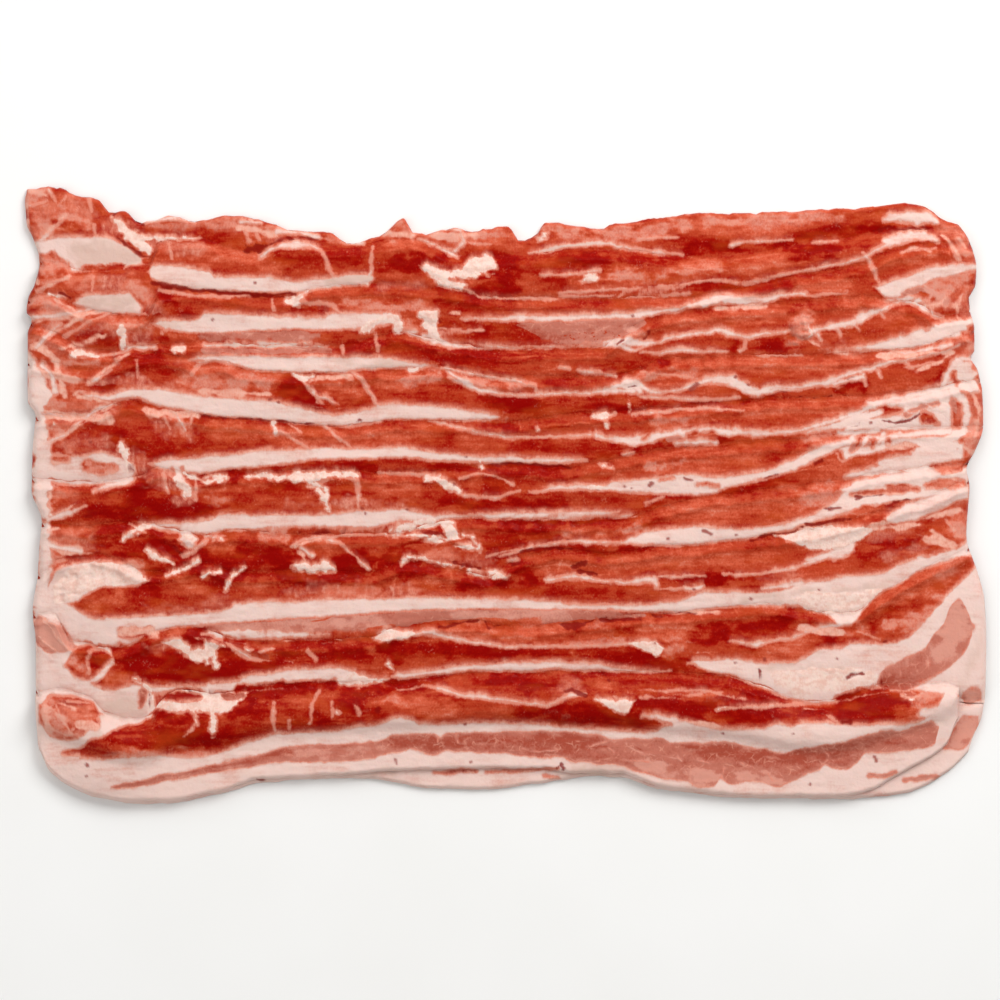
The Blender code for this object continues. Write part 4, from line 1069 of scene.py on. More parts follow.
MARKS_12 = (
    ("fat", (((380, 768), (540, 764), (640, 772), (700, 786), (800, 792), (860, 790), (930, 752),
      (945, 700), (990, 680)), ((380, 815), (540, 815), (640, 815), (700, 815), (800, 815), (860, 815),
      (930, 815), (945, 815), (990, 815)))),
    ("lean", (1.6, (435, 772, 1), (450, 772), (462, 770), (477, 771, 1)),
     (1.1, (487, 772, 0.7), (515, 771), (540, 769), (557, 767)), (1.2, (543, 776), (558, 777, 0.6))),
    ("deep", (2, (440, 772), (474, 771))),
    ("gap", (1.5, (556, 767), (560, 762), (563, 768))),
    ("dim", (3, (575, 770), (620, 774))),
    ("pale", (((958, 694), (968, 688), (979, 687)), ((958, 696), (966, 704), (979, 700))),
     (((944, 747), (954, 727), (965, 716), (976, 716)), ((944, 750), (956, 749), (966, 745), (976, 728)))),
    ("salmon", (6, (966, 694), (972, 696)), (10, (958, 738), (968, 724))),
)
MARKS_LEFT = (
    ("haze", (14, (40, 196), (44, 230)), (10, (72, 206), (86, 222)), (5, (150, 228), (196, 226)),
     (12, (42, 306), (64, 310)), (8, (100, 318), (140, 322)), (7, (40, 338), (60, 350)),
     (8, (150, 300), (160, 318)), (9, (66, 366), (76, 392)), (6, (180, 366), (196, 392)),
     (11, (56, 412), (92, 410)), (9, (52, 428), (66, 424)), (8, (66, 446), (104, 444)),
     (8, (56, 464), (72, 460)), (7, (60, 492), (76, 500)), (12, (56, 540), (86, 542)),
     (6, (60, 566), (84, 560)), (8, (40, 628), (54, 644)), (6, (110, 672), (128, 684)),
     (14, (56, 712), (82, 716)), (4, (100, 726), (150, 716)), (6, (130, 782), (190, 772), (260, 764))),
    ("veil", (4, (30, 190), (48, 196)), (3, (44, 238), (54, 228), (68, 214, 2), (80, 208, 1)),
     (3, (28, 204), (30, 232)), (3, (40, 292), (56, 284), (70, 276, 1)),
     (2.5, (56, 300), (70, 306), (78, 314, 1)), (3.5, (28, 326), (50, 320), (76, 316), (104, 312, 1.5)),
     (3, (34, 348), (56, 334), (76, 320), (92, 314, 1)), (2, (62, 350), (84, 344), (110, 334, 1)),
     (5, (44, 350), (58, 362), (62, 380), (66, 396)),
     (3, (74, 396), (92, 382), (112, 366), (130, 353), (148, 347, 1.5)),
     (3, (78, 398), (96, 398), (110, 404)),
     (4, (34, 452), (52, 443), (68, 434), (84, 424, 3), (98, 414, 2), (116, 405, 1.5)),
     (5, (50, 432), (51, 452)), (5, (54, 462), (70, 468)), (4, (50, 486), (52, 506), (50, 520)),
     (3.5, (46, 522), (66, 512), (86, 499, 1)), (4, (50, 546), (72, 554), (92, 552, 2)),
     (4, (46, 530), (60, 528)), (4, (34, 616), (46, 622), (56, 640)), (3, (38, 640), (52, 654)),
     (3, (60, 640), (70, 654)), (4, (48, 704), (64, 716), (72, 732)), (3, (62, 702), (78, 708)),
     (3, (52, 726), (68, 734)), (2.5, (250, 776), (150, 787), (112, 790))),
    ("comb", (8, (112, 226), (160, 246), (200, 250)), (7, (90, 282), (140, 282)),
     (7, (110, 330), (150, 334)), (9, (90, 386), (140, 384), (180, 388)), (8, (160, 426), (190, 430)),
     (12, (142, 462), (166, 480)), (6, (176, 500), (200, 492)), (8, (150, 644), (180, 640))),
    ("lean", (9, (42, 262, 6), (54, 262), (64, 266, 6)),
     (4, (68, 752, 2.5), (84, 750, 4.5), (104, 746, 7))),
    ("salmon", (8, (44, 268), (62, 266)), (9, (42, 308), (62, 308))),
    ("haze", (12, (44, 266), (62, 262)), (9, (84, 284), (136, 282))),
    ("fat", (4, (42, 246, 3), (54, 245, 5), (64, 250, 3)),
     (5, (27, 352, 3), (34, 372, 8), (38, 392, 13), (36, 412, 9), (34, 424, 5)),
     (3.4, (44, 366), (54, 378), (56, 392)), (((30, 586), (44, 592), (60, 598), (76, 606), (96, 618),
      (116, 616)), ((30, 606), (44, 612), (60, 622), (76, 632), (96, 636), (116, 636)))),
    ("veil", (3, (36, 262), (38, 284))),
    ("chalk", (4, (176, 478, 2), (184, 486, 5), (190, 494, 4)), (2.5, (186, 474), (206, 482), (222, 480)),
     (4, (126, 537, 2), (138, 530, 4), (148, 526, 3)), (((56, 584), (72, 568), (92, 562), (112, 563),
      (132, 570), (150, 577)), ((56, 604), (72, 600), (92, 590), (112, 585), (132, 583), (150, 580)))),
    ("dark", (5, (130, 548), (150, 546)), (4, (76, 752), (110, 752))),
    ("shade", (1.2, (72, 574), (68, 598)), (1, (97, 566), (93, 586)), (1, (110, 566), (107, 582))),
    ("dent", (1.5, (66, 576), (62, 598)), (1.5, (78, 570), (74, 594)), (1.5, (91, 567), (87, 588)),
     (1.5, (104, 566), (100, 584))),
)
MARKS_RIGHT = (
    ("fat", (4, (884, 221, 3), (900, 217, 5), (920, 218, 6), (935, 221, 4)),
     (5, (884, 243, 3.5), (900, 238, 5.5), (922, 237, 5.5), (935, 241, 3)), (2, (816, 333), (820, 341, 1)),
     (2, (836, 330), (839, 337, 1)), (2.4, (852, 322), (858, 331, 1)), (2, (876, 310), (882, 318, 1)),
     (2.4, (862, 375), (866, 385, 1)), (2, (876, 370), (880, 378, 1)), (2, (904, 360), (908, 367, 1)),
     (2.6, (758, 394, 1), (776, 390, 3), (800, 390, 1)),
     (4, (944, 384, 5), (948, 370, 4), (958, 360, 4), (970, 360, 3)),
     (5, (952, 392, 6), (962, 400, 4), (967, 416, 4), (962, 432, 6), (950, 440, 8))),
    ("lean", (3.5, (897, 207, 3), (908, 206, 4)), (7, (799, 324), (798, 334)),
     (3, (838, 388, 1.5), (848, 386, 4), (860, 386, 2))),
    ("dark", (4, (896, 207), (910, 207)), (6, (926, 414), (936, 424))),
    ("deep", (3, (872, 231), (890, 228), (908, 232), (928, 229)), (4, (838, 388), (860, 386)),
     (2, (862, 422), (880, 423), (902, 421), (918, 416)), (5, (848, 516), (888, 507))),
    ("haze", (8, (942, 222), (944, 232)), (9, (958, 236), (966, 262)), (12, (930, 286), (964, 286)),
     (10, (962, 302), (966, 322)), (11, (799, 322), (799, 334)), (7, (820, 346), (860, 352)),
     (10, (944, 352), (962, 344)), (12, (966, 352), (972, 372)), (16, (974, 404), (974, 440)),
     (10, (956, 504), (960, 532)), (9, (954, 560), (946, 574)), (7, (886, 672), (910, 660), (932, 650)),
     (9, (936, 646), (958, 612)), (8, (908, 694), (938, 696)), (6, (914, 716), (932, 706)),
     (6, (896, 736), (936, 738)), (8, (964, 690), (972, 700)), (10, (962, 730), (970, 722))),
    ("veil", (2.5, (942, 236), (950, 246), (960, 262)), (2, (958, 240), (966, 252)),
     (2, (900, 252), (918, 249), (930, 253)), (3, (916, 280), (930, 292), (944, 298)),
     (3, (960, 300), (956, 314), (962, 328)), (2, (803, 320), (804, 334)),
     (2.5, (808, 340), (822, 350), (846, 354)), (2.4, (916, 370), (940, 362), (950, 352)),
     (4, (956, 372), (968, 380), (976, 392)), (3, (970, 392), (978, 410), (974, 436)),
     (3, (960, 446), (972, 452)), (3, (880, 522), (900, 514), (920, 508, 2)),
     (1.6, (948, 520), (956, 536), (954, 548)), (2, (914, 532), (930, 540), (944, 538)),
     (1.6, (920, 526), (926, 538)), (2, (890, 668), (902, 680)), (2, (904, 660), (918, 676)),
     (2, (918, 654), (932, 668)), (2, (934, 642), (944, 656)), (1.6, (944, 624), (958, 640)),
     (1.6, (950, 606), (964, 618)), (2, (900, 694), (912, 698), (922, 693)), (2.5, (958, 716), (964, 736)),
     (2.4, (872, 772), (880, 776))),
    ("film", (1.6, (862, 254), (870, 264), (878, 282)), (1.4, (806, 676), (812, 688))),
    ("salmon", (8, (926, 288), (950, 286), (966, 290)), (10, (799, 323), (798, 336)),
     (8, (944, 640), (956, 620))),
    ("fat", (3, (896, 300, 3), (908, 299, 4), (918, 304, 4.5), (926, 312, 3), (936, 317, 1.5)),
     (3, (868, 404, 4), (900, 400, 4), (930, 398, 5))),
    ("lump", (5, (799, 324), (798, 334))),
    ("dark", (3, (790, 330), (792, 338))),
    ("lean", (3, (958, 412, 2), (958, 424, 3)), (4, (870, 412, 2), (884, 411, 5), (898, 410, 2)),
     (4, (922, 412, 2), (930, 419, 5), (938, 424, 2))),
    ("haze", (5, (958, 410), (958, 426))),
    ("film", (2, (900, 404), (906, 414), (916, 412)),
     (2.4, (918, 402), (930, 408), (944, 410), (950, 422))),
    ("fat", (3, (846, 448, 1), (850, 440, 3.5), (854, 434, 3)),
     (3, (860, 450, 1), (864, 442, 3.5), (868, 436, 3)), (3, (876, 448, 1), (880, 440, 3), (884, 434, 3)),
     (3, (890, 446, 1), (894, 440, 3), (898, 434, 3))),
    ("lean", (2, (856, 446, 1), (858, 438, 1.6)), (2, (872, 446, 1), (874, 440, 1.6)),
     (2, (887, 444), (888, 440))),
    ("fat", (6, (896, 466, 2), (912, 458, 6), (930, 450, 9), (952, 446, 10)),
     (5, (846, 476, 2), (880, 470, 5), (910, 466, 8), (936, 470, 6))),
    ("lean", (5, (930, 466, 2), (944, 468, 5), (958, 466, 6)),
     (3, (850, 495, 1), (868, 492, 2), (890, 489, 4), (908, 490, 1.5))),
    ("haze", (9, (940, 466), (960, 464)), (5, (860, 492), (904, 489))),
    ("lean", (3.5, (924, 485, 1.5), (938, 483, 4), (956, 481, 3))),
    ("haze", (8, (930, 484), (958, 482))),
    ("veil", (3, (948, 474), (964, 488))),
    ("fat", (2.4, (836, 512, 1), (870, 500, 3), (910, 496, 3), (940, 492, 3))),
    ("lean", (4, (846, 516, 2), (864, 511, 5), (884, 508, 4), (902, 504, 1))),
    ("gap", (1, (826, 509), (836, 508)), (0.9, (854, 497), (862, 496)), (0.9, (893, 502), (908, 500))),
    ("haze", (8, (886, 516), (906, 508))),
    ("salmon", (9, (950, 512), (958, 530))),
    ("chalk",
     (((788, 598), (812, 592), (850, 593), (882, 588)), ((788, 602), (812, 612), (850, 614), (882, 594))),
     (((764, 672), (800, 668), (850, 668), (880, 672)), ((764, 680), (800, 696), (850, 694), (880, 684)))),
    ("gap", (1.4, (846, 679), (852, 674), (862, 673))),
    ("comb", (5, (820, 758), (880, 752))),
    ("pale", (1.8, (904, 780, 1), (920, 778), (938, 776, 1))),
    ("haze", (4, (904, 780), (938, 776))),
)
MARKS_MIDDLE = (
    ("chalk", (5, (424, 268, 3), (438, 276, 5), (452, 284, 6), (464, 286, 3)),
     (4, (424, 316, 5), (432, 322, 5), (436, 334, 4)), (3.4, (362, 330, 3), (372, 324, 4)),
     (4, (394, 532, 3), (408, 526, 5), (424, 523, 5)), (4, (446, 526, 6), (452, 536, 6), (462, 546, 5)),
     (3, (402, 563, 2), (406, 557, 3)), (3, (296, 566, 2), (310, 568, 4), (326, 570, 3)),
     (4, (288, 478, 4), (306, 477, 6), (324, 474, 3)), (3, (344, 474, 3), (354, 475, 4)),
     (3, (318, 490, 4), (324, 500, 3)), (2.4, (590, 487), (602, 486))),
    ("mid", (2, (450, 279), (457, 281))),
    ("lean", (1.2, (449, 279), (456, 281)), (3, (312, 622, 1), (330, 618, 1))),
    ("chalk", (4, (478, 262, 6), (490, 262, 6))),
    ("fat", (3, (404, 330, 2), (420, 336, 4), (440, 342, 4.5), (462, 348, 3.5), (477, 350, 1.5)),
     (3.5, (384, 316, 4), (396, 322, 6), (398, 331, 4)),
     (3, (448, 372, 1.5), (462, 381, 4), (480, 390, 3.5), (500, 395, 2)),
     (3, (600, 345, 2), (614, 342, 5), (630, 343, 5), (646, 345, 3)),
     (3, (612, 388, 2), (624, 385, 5), (636, 384, 5), (640, 392, 4))),
    ("haze", (5, (380, 288), (420, 284)), (6, (476, 380), (520, 388)), (6, (560, 332), (610, 330)),
     (8, (436, 552), (452, 556)), (6, (470, 560), (490, 563))),
    ("veil", (2, (440, 316), (460, 314, 1)), (2, (440, 329), (462, 331), (484, 330, 1)),
     (2, (550, 345), (576, 343), (590, 345)), (3, (306, 486), (318, 486)),
     (1.4, (356, 474), (360, 484), (360, 512)), (3, (296, 547), (310, 541), (320, 538)),
     (3, (300, 552), (306, 560))),
    ("film", (1.6, (448, 370), (480, 376), (512, 382), (534, 386), (536, 395))),
    ("gap", (1.6, (617, 345), (622, 341)), (1.2, (628, 388), (635, 387)), (2, (424, 532), (436, 533)),
     (2, (572, 566), (584, 563)), (2.6, (580, 571), (592, 573))),
    ("deep", (4, (422, 533), (438, 532)), (5, (256, 548), (280, 562)), (4, (334, 562), (352, 568))),
    ("chalk", (3, (426, 538), (444, 543))),
    ("dark", (6, (488, 536), (510, 540))),
    ("deep", (6, (506, 520), (560, 521)), (3, (498, 555), (516, 552))),
    ("speck", (0.8, (598, 490))),
    ("comb", (6, (290, 590), (420, 592)), (5, (290, 504), (400, 504))),
)
MARKS_BORDERS = (
    ("fat",
     (((884, 514), (905, 504), (930, 496), (968, 486)), ((884, 524), (905, 522), (930, 514), (968, 499))),
     (4.5, (205, 632, 3), (240, 635, 5), (290, 636, 5), (330, 637, 2)),
     (5, (868, 348, 2), (900, 343, 6), (930, 336, 7), (960, 328, 6)),
     (((860, 346), (890, 338), (920, 332), (960, 322)), ((860, 350), (890, 351), (920, 347), (960, 338))),
     (((876, 458), (900, 455), (930, 452), (962, 446)), ((876, 470), (900, 470), (930, 466), (962, 460))),
     (4, (806, 560, 2), (830, 555, 5), (850, 548, 5)), (4, (806, 433, 2), (840, 424, 5), (876, 413, 5)),
     (4, (838, 434), (878, 430)), (3, (604, 391), (640, 391)), (4, (918, 560), (956, 552)),
     (3, (762, 588, 2), (800, 583, 4)), (5, (920, 712), (956, 708))),
    ("veil", (6, (866, 528), (890, 520), (906, 510)), (5, (930, 530), (950, 545)),
     (7, (150, 413), (196, 414)), (6, (880, 357), (950, 352)), (7, (240, 228), (272, 234)),
     (6, (318, 379), (352, 377)), (7, (924, 518), (958, 510)), (7, (926, 538), (954, 546)),
     (8, (44, 414), (112, 419)), (7, (40, 374), (78, 381)), (26, (46, 624), (58, 640)),
     (7, (46, 704), (50, 730)), (5, (200, 392), (270, 395)), (6, (386, 232), (412, 236)),
     (6, (436, 236), (474, 236)), (6, (800, 628), (842, 632)), (6, (882, 528), (918, 524)),
     (4, (716, 309), (764, 306)), (6, (924, 303), (956, 306)), (6, (680, 724), (720, 726)),
     (8, (884, 446), (916, 443)), (5, (682, 612), (720, 612))),
    ("bright", (10, (196, 374), (240, 376), (274, 380)), (8, (800, 287), (850, 286)),
     (9, (884, 602), (905, 590), (930, 576)), (9, (790, 489), (836, 481)), (9, (200, 256), (262, 258)),
     (9, (230, 622), (300, 622), (380, 620)), (8, (842, 512), (876, 508)), (7, (676, 361), (724, 361))),
    ("haze", (7, (204, 378), (250, 382)), (9, (236, 226), (280, 236)), (7, (84, 410), (120, 412)),
     (6, (884, 557), (918, 551)), (7, (404, 232), (436, 232)), (5, (764, 584), (800, 578)),
     (9, (872, 532), (900, 530), (918, 526)), (8, (204, 220), (236, 220)), (8, (58, 700), (92, 706)),
     (8, (62, 735), (88, 730))),
    ("lean", (6, (284, 392, 4), (298, 399, 6), (310, 403, 4)), (3, (318, 406), (352, 407)), (((76, 603),
      (120, 596), (180, 597), (244, 597)), ((76, 606), (90, 614), (120, 617), (160, 615), (200, 613),
      (228, 608), (244, 600))), (3, (440, 546), (470, 540)), (3.4, (630, 691), (700, 698)),
     (4, (838, 698), (866, 691), (884, 689)), (4.4, (162, 695, 3), (180, 695, 5), (198, 696, 4)),
     (4, (236, 669), (262, 668), (292, 664)), (5, (138, 672), (180, 678), (222, 674)),
     (4, (810, 291), (852, 289)), (5, (146, 514), (180, 514), (206, 511)),
     (4, (686, 647), (714, 650), (746, 656)), (4, (552, 634), (598, 634)), (3.5, (640, 591), (676, 593)),
     (4, (276, 686), (320, 684), (334, 683)), (3, (400, 681), (422, 679), (446, 677)), (((560, 596),
      (600, 595), (640, 595), (680, 592), (700, 590)), ((560, 604), (600, 604.5), (640, 604), (680, 600),
      (700, 593))), (4, (156, 712), (176, 714), (192, 716)),
     (4, (298, 405, 1), (318, 409, 3), (338, 411, 4), (358, 408, 3), (376, 405, 1)),
     (4, (156, 682), (200, 681), (236, 677)), (3, (236, 674, 3), (262, 672, 2), (296, 668, 0.5)),
     (6, (676, 265), (722, 263)), (4, (716, 290), (762, 287)), (4, (396, 685), (420, 683), (450, 680)),
     (4, (148, 261), (180, 263), (208, 268)), (5, (150, 518), (180, 518), (208, 515)),
     (4, (556, 481), (606, 480)), (3, (276, 314), (324, 314)),
     (3, (150, 456, 2), (196, 453, 3), (236, 450, 1)), (4, (80, 388), (116, 390)),
     (4, (168, 697, 3), (186, 697, 4.5), (200, 696, 3)), (4, (238, 689), (262, 687), (282, 684)),
     (3, (284, 401), (312, 404)), (2.5, (444, 351), (480, 353)), (4, (402, 262), (420, 262)),
     (4, (84, 270), (120, 268)), (4, (120, 320), (158, 318)), (3, (722, 692), (760, 694)),
     (4, (802, 712), (840, 711)), (4, (682, 656), (720, 655))),
    ("deep", (7, (284, 392), (300, 399), (310, 403)), (8, (840, 701), (880, 698), (905, 702)),
     (5, (170, 696), (196, 696)), (9, (130, 664), (180, 672), (220, 668), (262, 662)),
     (9, (140, 506), (200, 507)), (6, (270, 690), (330, 688)), (5, (400, 681), (444, 678)),
     (5, (160, 715), (190, 718)), (5, (190, 636), (206, 642)), (7, (154, 546), (202, 556)),
     (6, (150, 516), (200, 514)), (7, (196, 571), (238, 573)), (6, (236, 666), (282, 664)),
     (5, (170, 697), (198, 697)), (6, (400, 264), (436, 258)), (7, (520, 712), (560, 711)),
     (6, (284, 570), (300, 572)), (6, (802, 712), (840, 712))),
    ("bright", (8, (322, 384), (352, 390)), (9, (216, 430), (300, 434), (366, 438))),
    ("haze", (6, (150, 610), (190, 609), (228, 602))),
    ("dark", (8, (100, 600), (150, 598)), (8, (624, 682), (680, 681), (744, 687)),
     (6, (716, 291), (760, 288)), (6, (480, 515), (520, 515))),
    ("deep", (7, (640, 703), (700, 706), (770, 708)), (6, (722, 698), (760, 700))),
    ("mid", (6, (690, 648), (740, 654)), (7, (540, 636), (600, 634))),
    ("fat", (6, (218, 634, 4), (250, 635, 6), (300, 636, 5), (332, 637, 2))),
    ("bright", (8, (460, 614), (560, 612)), (8, (76, 604), (104, 600), (120, 594)),
     (8, (520, 627), (560, 626))),
    ("salmon", (9, (800, 500), (836, 494)), (10, (50, 706), (64, 732)), (8, (190, 384), (270, 386)),
     (8, (884, 626), (916, 620))),
    ("fat", (5, (842, 490, 3), (882, 484, 5))),
    ("lean", (5, (150, 640), (176, 632), (204, 629)), (5, (188, 637), (202, 642)),
     (5, (232, 665), (282, 663)), (3, (226, 640), (300, 642), (360, 640)), (5, (124, 634), (150, 632)),
     (5, (82, 722), (98, 722)), (3.5, (250, 644), (280, 643))),
    ("film", (1.4, (44, 618), (56, 633), (68, 648)), (1.2, (40, 636), (54, 648))),
    ("veil", (8, (120, 632), (156, 632)), (7, (82, 724), (110, 728))),
    ("deep", (7, (282, 396), (314, 402))),
    ("dim", (6, (84, 262), (120, 262))),
)
MARKS = (MARKS_01, MARKS_02, MARKS_03, MARKS_04, MARKS_05, MARKS_06, MARKS_07, MARKS_08, MARKS_09, MARKS_10,
         MARKS_11, MARKS_12, MARKS_LEFT, MARKS_RIGHT, MARKS_MIDDLE, MARKS_BORDERS)
TONE_CLOUDS = ((0.35, 70, 14, 61), (0.25, 24, 7, 62))
TONE_SLOPE = 0.35               # the front half of the row is deeper in tone at the left
TONE_SLOPE_MIDDLE = 550         # the x where that slope passes through 0
TONE_SLOPE_REACH = 500          # and how far to each side its full strength lies
TONE_START = -0.1
FRONT_TONE = -0.2               # what the tone of the front part has less
FRONT_HALF, FRONT_PART = 378, 576       # the y where these two begin
TONE_FADE = 60                  # plan units over which they set in
VEIN_SEED = 77
VEINS = 520
VEIN_X, VEIN_Y = (40, 960), (205, 740)
VEIN_LENGTH, VEIN_WIDTH = (5, 17), (0.2, 0.8)
VEIN_START_WIDTH, VEIN_END_WIDTH = 0.3, 0.1
VEIN_LEAN, VEIN_BEND = 0.45, 1.5
STREAKS = 640
STREAK_SHARE = (0.08, 0.92)     # where between two rows a streak lies
STREAK_START, STREAK_LENGTH, STREAK_WIDTH = (40, 900), (14, 75), (0.2, 1.1)
VEIL_REACH = 9                  # plan units behind a fat band
VEIL_SHARE = 0.85
VEIL_FADE = 1.2
VEIL_UNEVENNESS = 0.4
WHITE_DEPTH, WHITE_START = 3, 0.2       # how deep in the fat the veil is full, and its share at the edge


def scatter_veins(plan):
    """Thin pale threads across the lean, and long streaks of its grain along the slices."""
    draw = np.random.default_rng(VEIN_SEED)
    for _ in range(VEINS):
        x, y = draw.uniform(*VEIN_X), draw.uniform(*VEIN_Y)
        length = draw.uniform(*VEIN_LENGTH)
        slope, bend = draw.normal(0, VEIN_LEAN), draw.normal(0, VEIN_BEND)
        middle = (x + slope * length / 2 + bend, y + length / 2, draw.uniform(*VEIN_WIDTH))
        end = (x + slope * length, y + length, VEIN_END_WIDTH)
        plan.draw("vein", [(x, y, VEIN_START_WIDTH), middle, end])
    for _ in range(STREAKS):
        row, share = draw.integers(0, FRONT_ROW), draw.uniform(*STREAK_SHARE)
        start, length = draw.uniform(*STREAK_START), draw.uniform(*STREAK_LENGTH)
        line = line_at(row) * (1 - share) + line_at(row + 1) * share
        xs = start + length * np.array([0, 0.5, 1])
        kind = ("vein", "shade")[draw.integers(0, 2)]
        widest = draw.uniform(*STREAK_WIDTH)
        plan.draw(kind, [(x, sample_line(line, x), width) for x, width in zip(xs, (0, widest, 0))])


def veil_behind_fat(plan):
    """Lean lies thin over the back border of every fat band, which shines through it."""
    white = np.clip(plan.fat / WHITE_DEPTH + WHITE_START, 0, 1)
    reach = VEIL_REACH * RASTER
    thinning = 1 + VEIL_UNEVENNESS * UNEVEN
    for step in range(1, reach + 1):
        share = VEIL_SHARE * (1 - step / (reach + 1)) ** VEIL_FADE
        plan.veil[:-step] = np.maximum(plan.veil[:-step], share * thinning[:-step] * white[step:])


def draw_plan():
    plan = Plan()
    across = (XS - TONE_SLOPE_MIDDLE) / TONE_SLOPE_REACH
    plan.tone += layered_noise(*TONE_CLOUDS) + TONE_START
    plan.tone += TONE_SLOPE * across * eased((YS - FRONT_HALF) / TONE_FADE)[:, None]
    plan.tone += FRONT_TONE * eased((YS - FRONT_PART) / TONE_FADE)[:, None]
    scatter_veins(plan)
    for marks in MARKS:
        for kind, *group in marks:
            for first, *rest in group:
                if isinstance(first, tuple):
                    plan.draw(kind, first, rest[0])
                else:
                    plan.draw(kind, [p if len(p) == 3 else (*p, first) for p in rest])
    veil_behind_fat(plan)
    return plan


# ---------------------------------------------------------------- the slabs
SLICE_GAP = 0.0001
FULL_THICKNESS = 0.0021
RIM_REACH = 4.5                 # plan units over which a rim rounds off
BACK_REACH = 12                 # plan units over which a slice thickens from a back edge that shows
BACK_LIP = 0.05                 # the share of its thickness that a slice has right at that edge
LEAST_THICKNESS = 0.0001
LEAN_CROWN = 0.0004
LEAN_PLACE, LEAN_SPREAD = 0.3, 0.14     # where the lean stands proud, as shares of a slice's width
END_SWELL = 0.0014
SWELL_PLACE = 105
SWELL_REACH = 46
WAVE_HEIGHT = 0.00025
WAVE_LENGTH = 37                # plan units for each radian of the wave
WAVE_SHIFT = 2.1                # radians from one slice to the next
RELIEF_REACH = 2                # plan units from a rim over which its relief sets in
WRINKLE = 0.00007
WRINKLES = ((1, 9, 4, 101), (0.8, 4, 9, 102), (1.5, 22, 14, 103))
DRAPE = 8                       # raster samples over which a slice bends down from what it lies on
TABLE_REACH = 0.00005           # a slice that is held up by less than this lies on the table
GAP_REACH = 0.001               # how high a slice is held up where its gap is full
COVERED_INSET = 4               # how much shorter a slice is where the next one covers it
COVER_FADE = 5
BARE_CORNER = 640               # the y from which the top slice leaves the right end bare
COLUMN_PITCH = 1.7              # plan units between columns of vertices
ROW_PITCH = 0.95                # and between rows, closer because the bands run along the slices
FINE_STEPS = (0, 0.35, 0.9, 1.7, 2.8)     # plan units from a rim, where vertices lie closer together
COVERED_ROWS = 8
SHOWN_MARGIN, COVERED_MARGIN = 0.02, 0.03
RIM_MARGIN = 0.06               # the share of the width where rim rows take over from coarse ones
COARSE = 4                      # columns and rows of the upper face for one of the lower face
LEFT_GUESS, RIGHT_GUESS = 60, 930       # about where a slice's ends are


def sample(field, x, y):
    """The raster field's value at plan places, between its samples."""
    u = np.clip((x - RASTER_ORIGIN[0]) * RASTER, 0, SHAPE[1] - 1.001)
    v = np.clip((y - RASTER_ORIGIN[1]) * RASTER, 0, SHAPE[0] - 1.001)
    i, j = u.astype(int), v.astype(int)
    fu, fv = u - i, v - j
    upper = field[j, i] * (1 - fu) + field[j, i + 1] * fu
    lower = field[j + 1, i] * (1 - fu) + field[j + 1, i + 1] * fu
    return upper * (1 - fv) + lower * fv


def steps_between(length, pitch):
    """Places from 0 to length, close together near both ends."""
    inner = np.arange(FINE_STEPS[-1] + pitch, length - FINE_STEPS[-1] - pitch * 0.5, pitch)
    rim = np.array(FINE_STEPS)
    return np.concatenate([rim, inner, (length - rim)[::-1]])


class Slice:
    """One slice's place in the plan: its rows, and which of them show."""

    def __init__(self, number, first_row, last_row, shown_from, shown_to):
        self.number = number
        self.back = line_at(first_row)
        self.front = line_at(last_row)
        self.shown_back = line_at(shown_from)
        self.shown_front = line_at(shown_to)
        span = last_row - first_row
        self.shown = ((shown_from - first_row) / span, (shown_to - first_row) / span)

    def left(self, y):
        return smooth_line(LEFT_OUTLINE, y)

    def right(self, y):
        end = smooth_line(RIGHT_OUTLINE, y)
        return np.minimum(end, TOP_SLICE_RIGHT_END) if self.number == SLICES - 1 else end

    def covered(self, x, y):
        """0 where the slice shows, 1 where another one lies on it."""
        before = sample_line(self.shown_back, x) - y
        behind = y - sample_line(self.shown_front, x)
        under_the_top = self.number in (SLICES - 2, SLICES)
        bare = under_the_top & (x > TOP_SLICE_RIGHT_END - 1) & (y > BARE_CORNER)
        return np.where(bare, 0, np.clip(np.maximum(before, behind) / COVER_FADE, 0, 1))

    def shares(self):
        """The rows of vertices, as shares from the back edge to the front edge."""
        width = float(np.mean(self.front - self.back))
        start, stop = self.shown
        fine = steps_between(width, ROW_PITCH) / width
        coarse = np.linspace(0, 1, int(COVERED_ROWS / (1 - stop + start + 0.001)) + 2)
        within = (fine >= start - SHOWN_MARGIN) & (fine <= stop + SHOWN_MARGIN)
        edge = FINE_STEPS[-1] / width + 0.001
        rim = (fine < edge) | (fine > 1 - edge)
        outside = (coarse < start - COVERED_MARGIN) | (coarse > stop + COVERED_MARGIN)
        clear = (coarse > RIM_MARGIN) & (coarse < 1 - RIM_MARGIN)
        return np.unique(np.round(np.concatenate([fine[within | rim], coarse[outside & clear]]), 5))


def lattice(piece):
    """The plan places of a slice's vertices, one row of them for each share."""
    shares = piece.shares()[:, None]
    ends = []
    for side, guess, inward in ((piece.left, LEFT_GUESS, 1), (piece.right, RIGHT_GUESS, -1)):
        y = sample_line(piece.back, guess) * (1 - shares) + sample_line(piece.front, guess) * shares
        end = side(y)
        y = sample_line(piece.back, end) * (1 - shares) + sample_line(piece.front, end) * shares
        ends.append(side(y) + inward * COVERED_INSET * piece.covered(end, y))
    along = steps_between(PLAN_LENGTH, COLUMN_PITCH) / PLAN_LENGTH
    x = ends[0] * (1 - along) + ends[1] * along
    y = sample_line(piece.back, x) * (1 - shares) + sample_line(piece.front, x) * shares
    return x, y, np.broadcast_to(shares, x.shape)


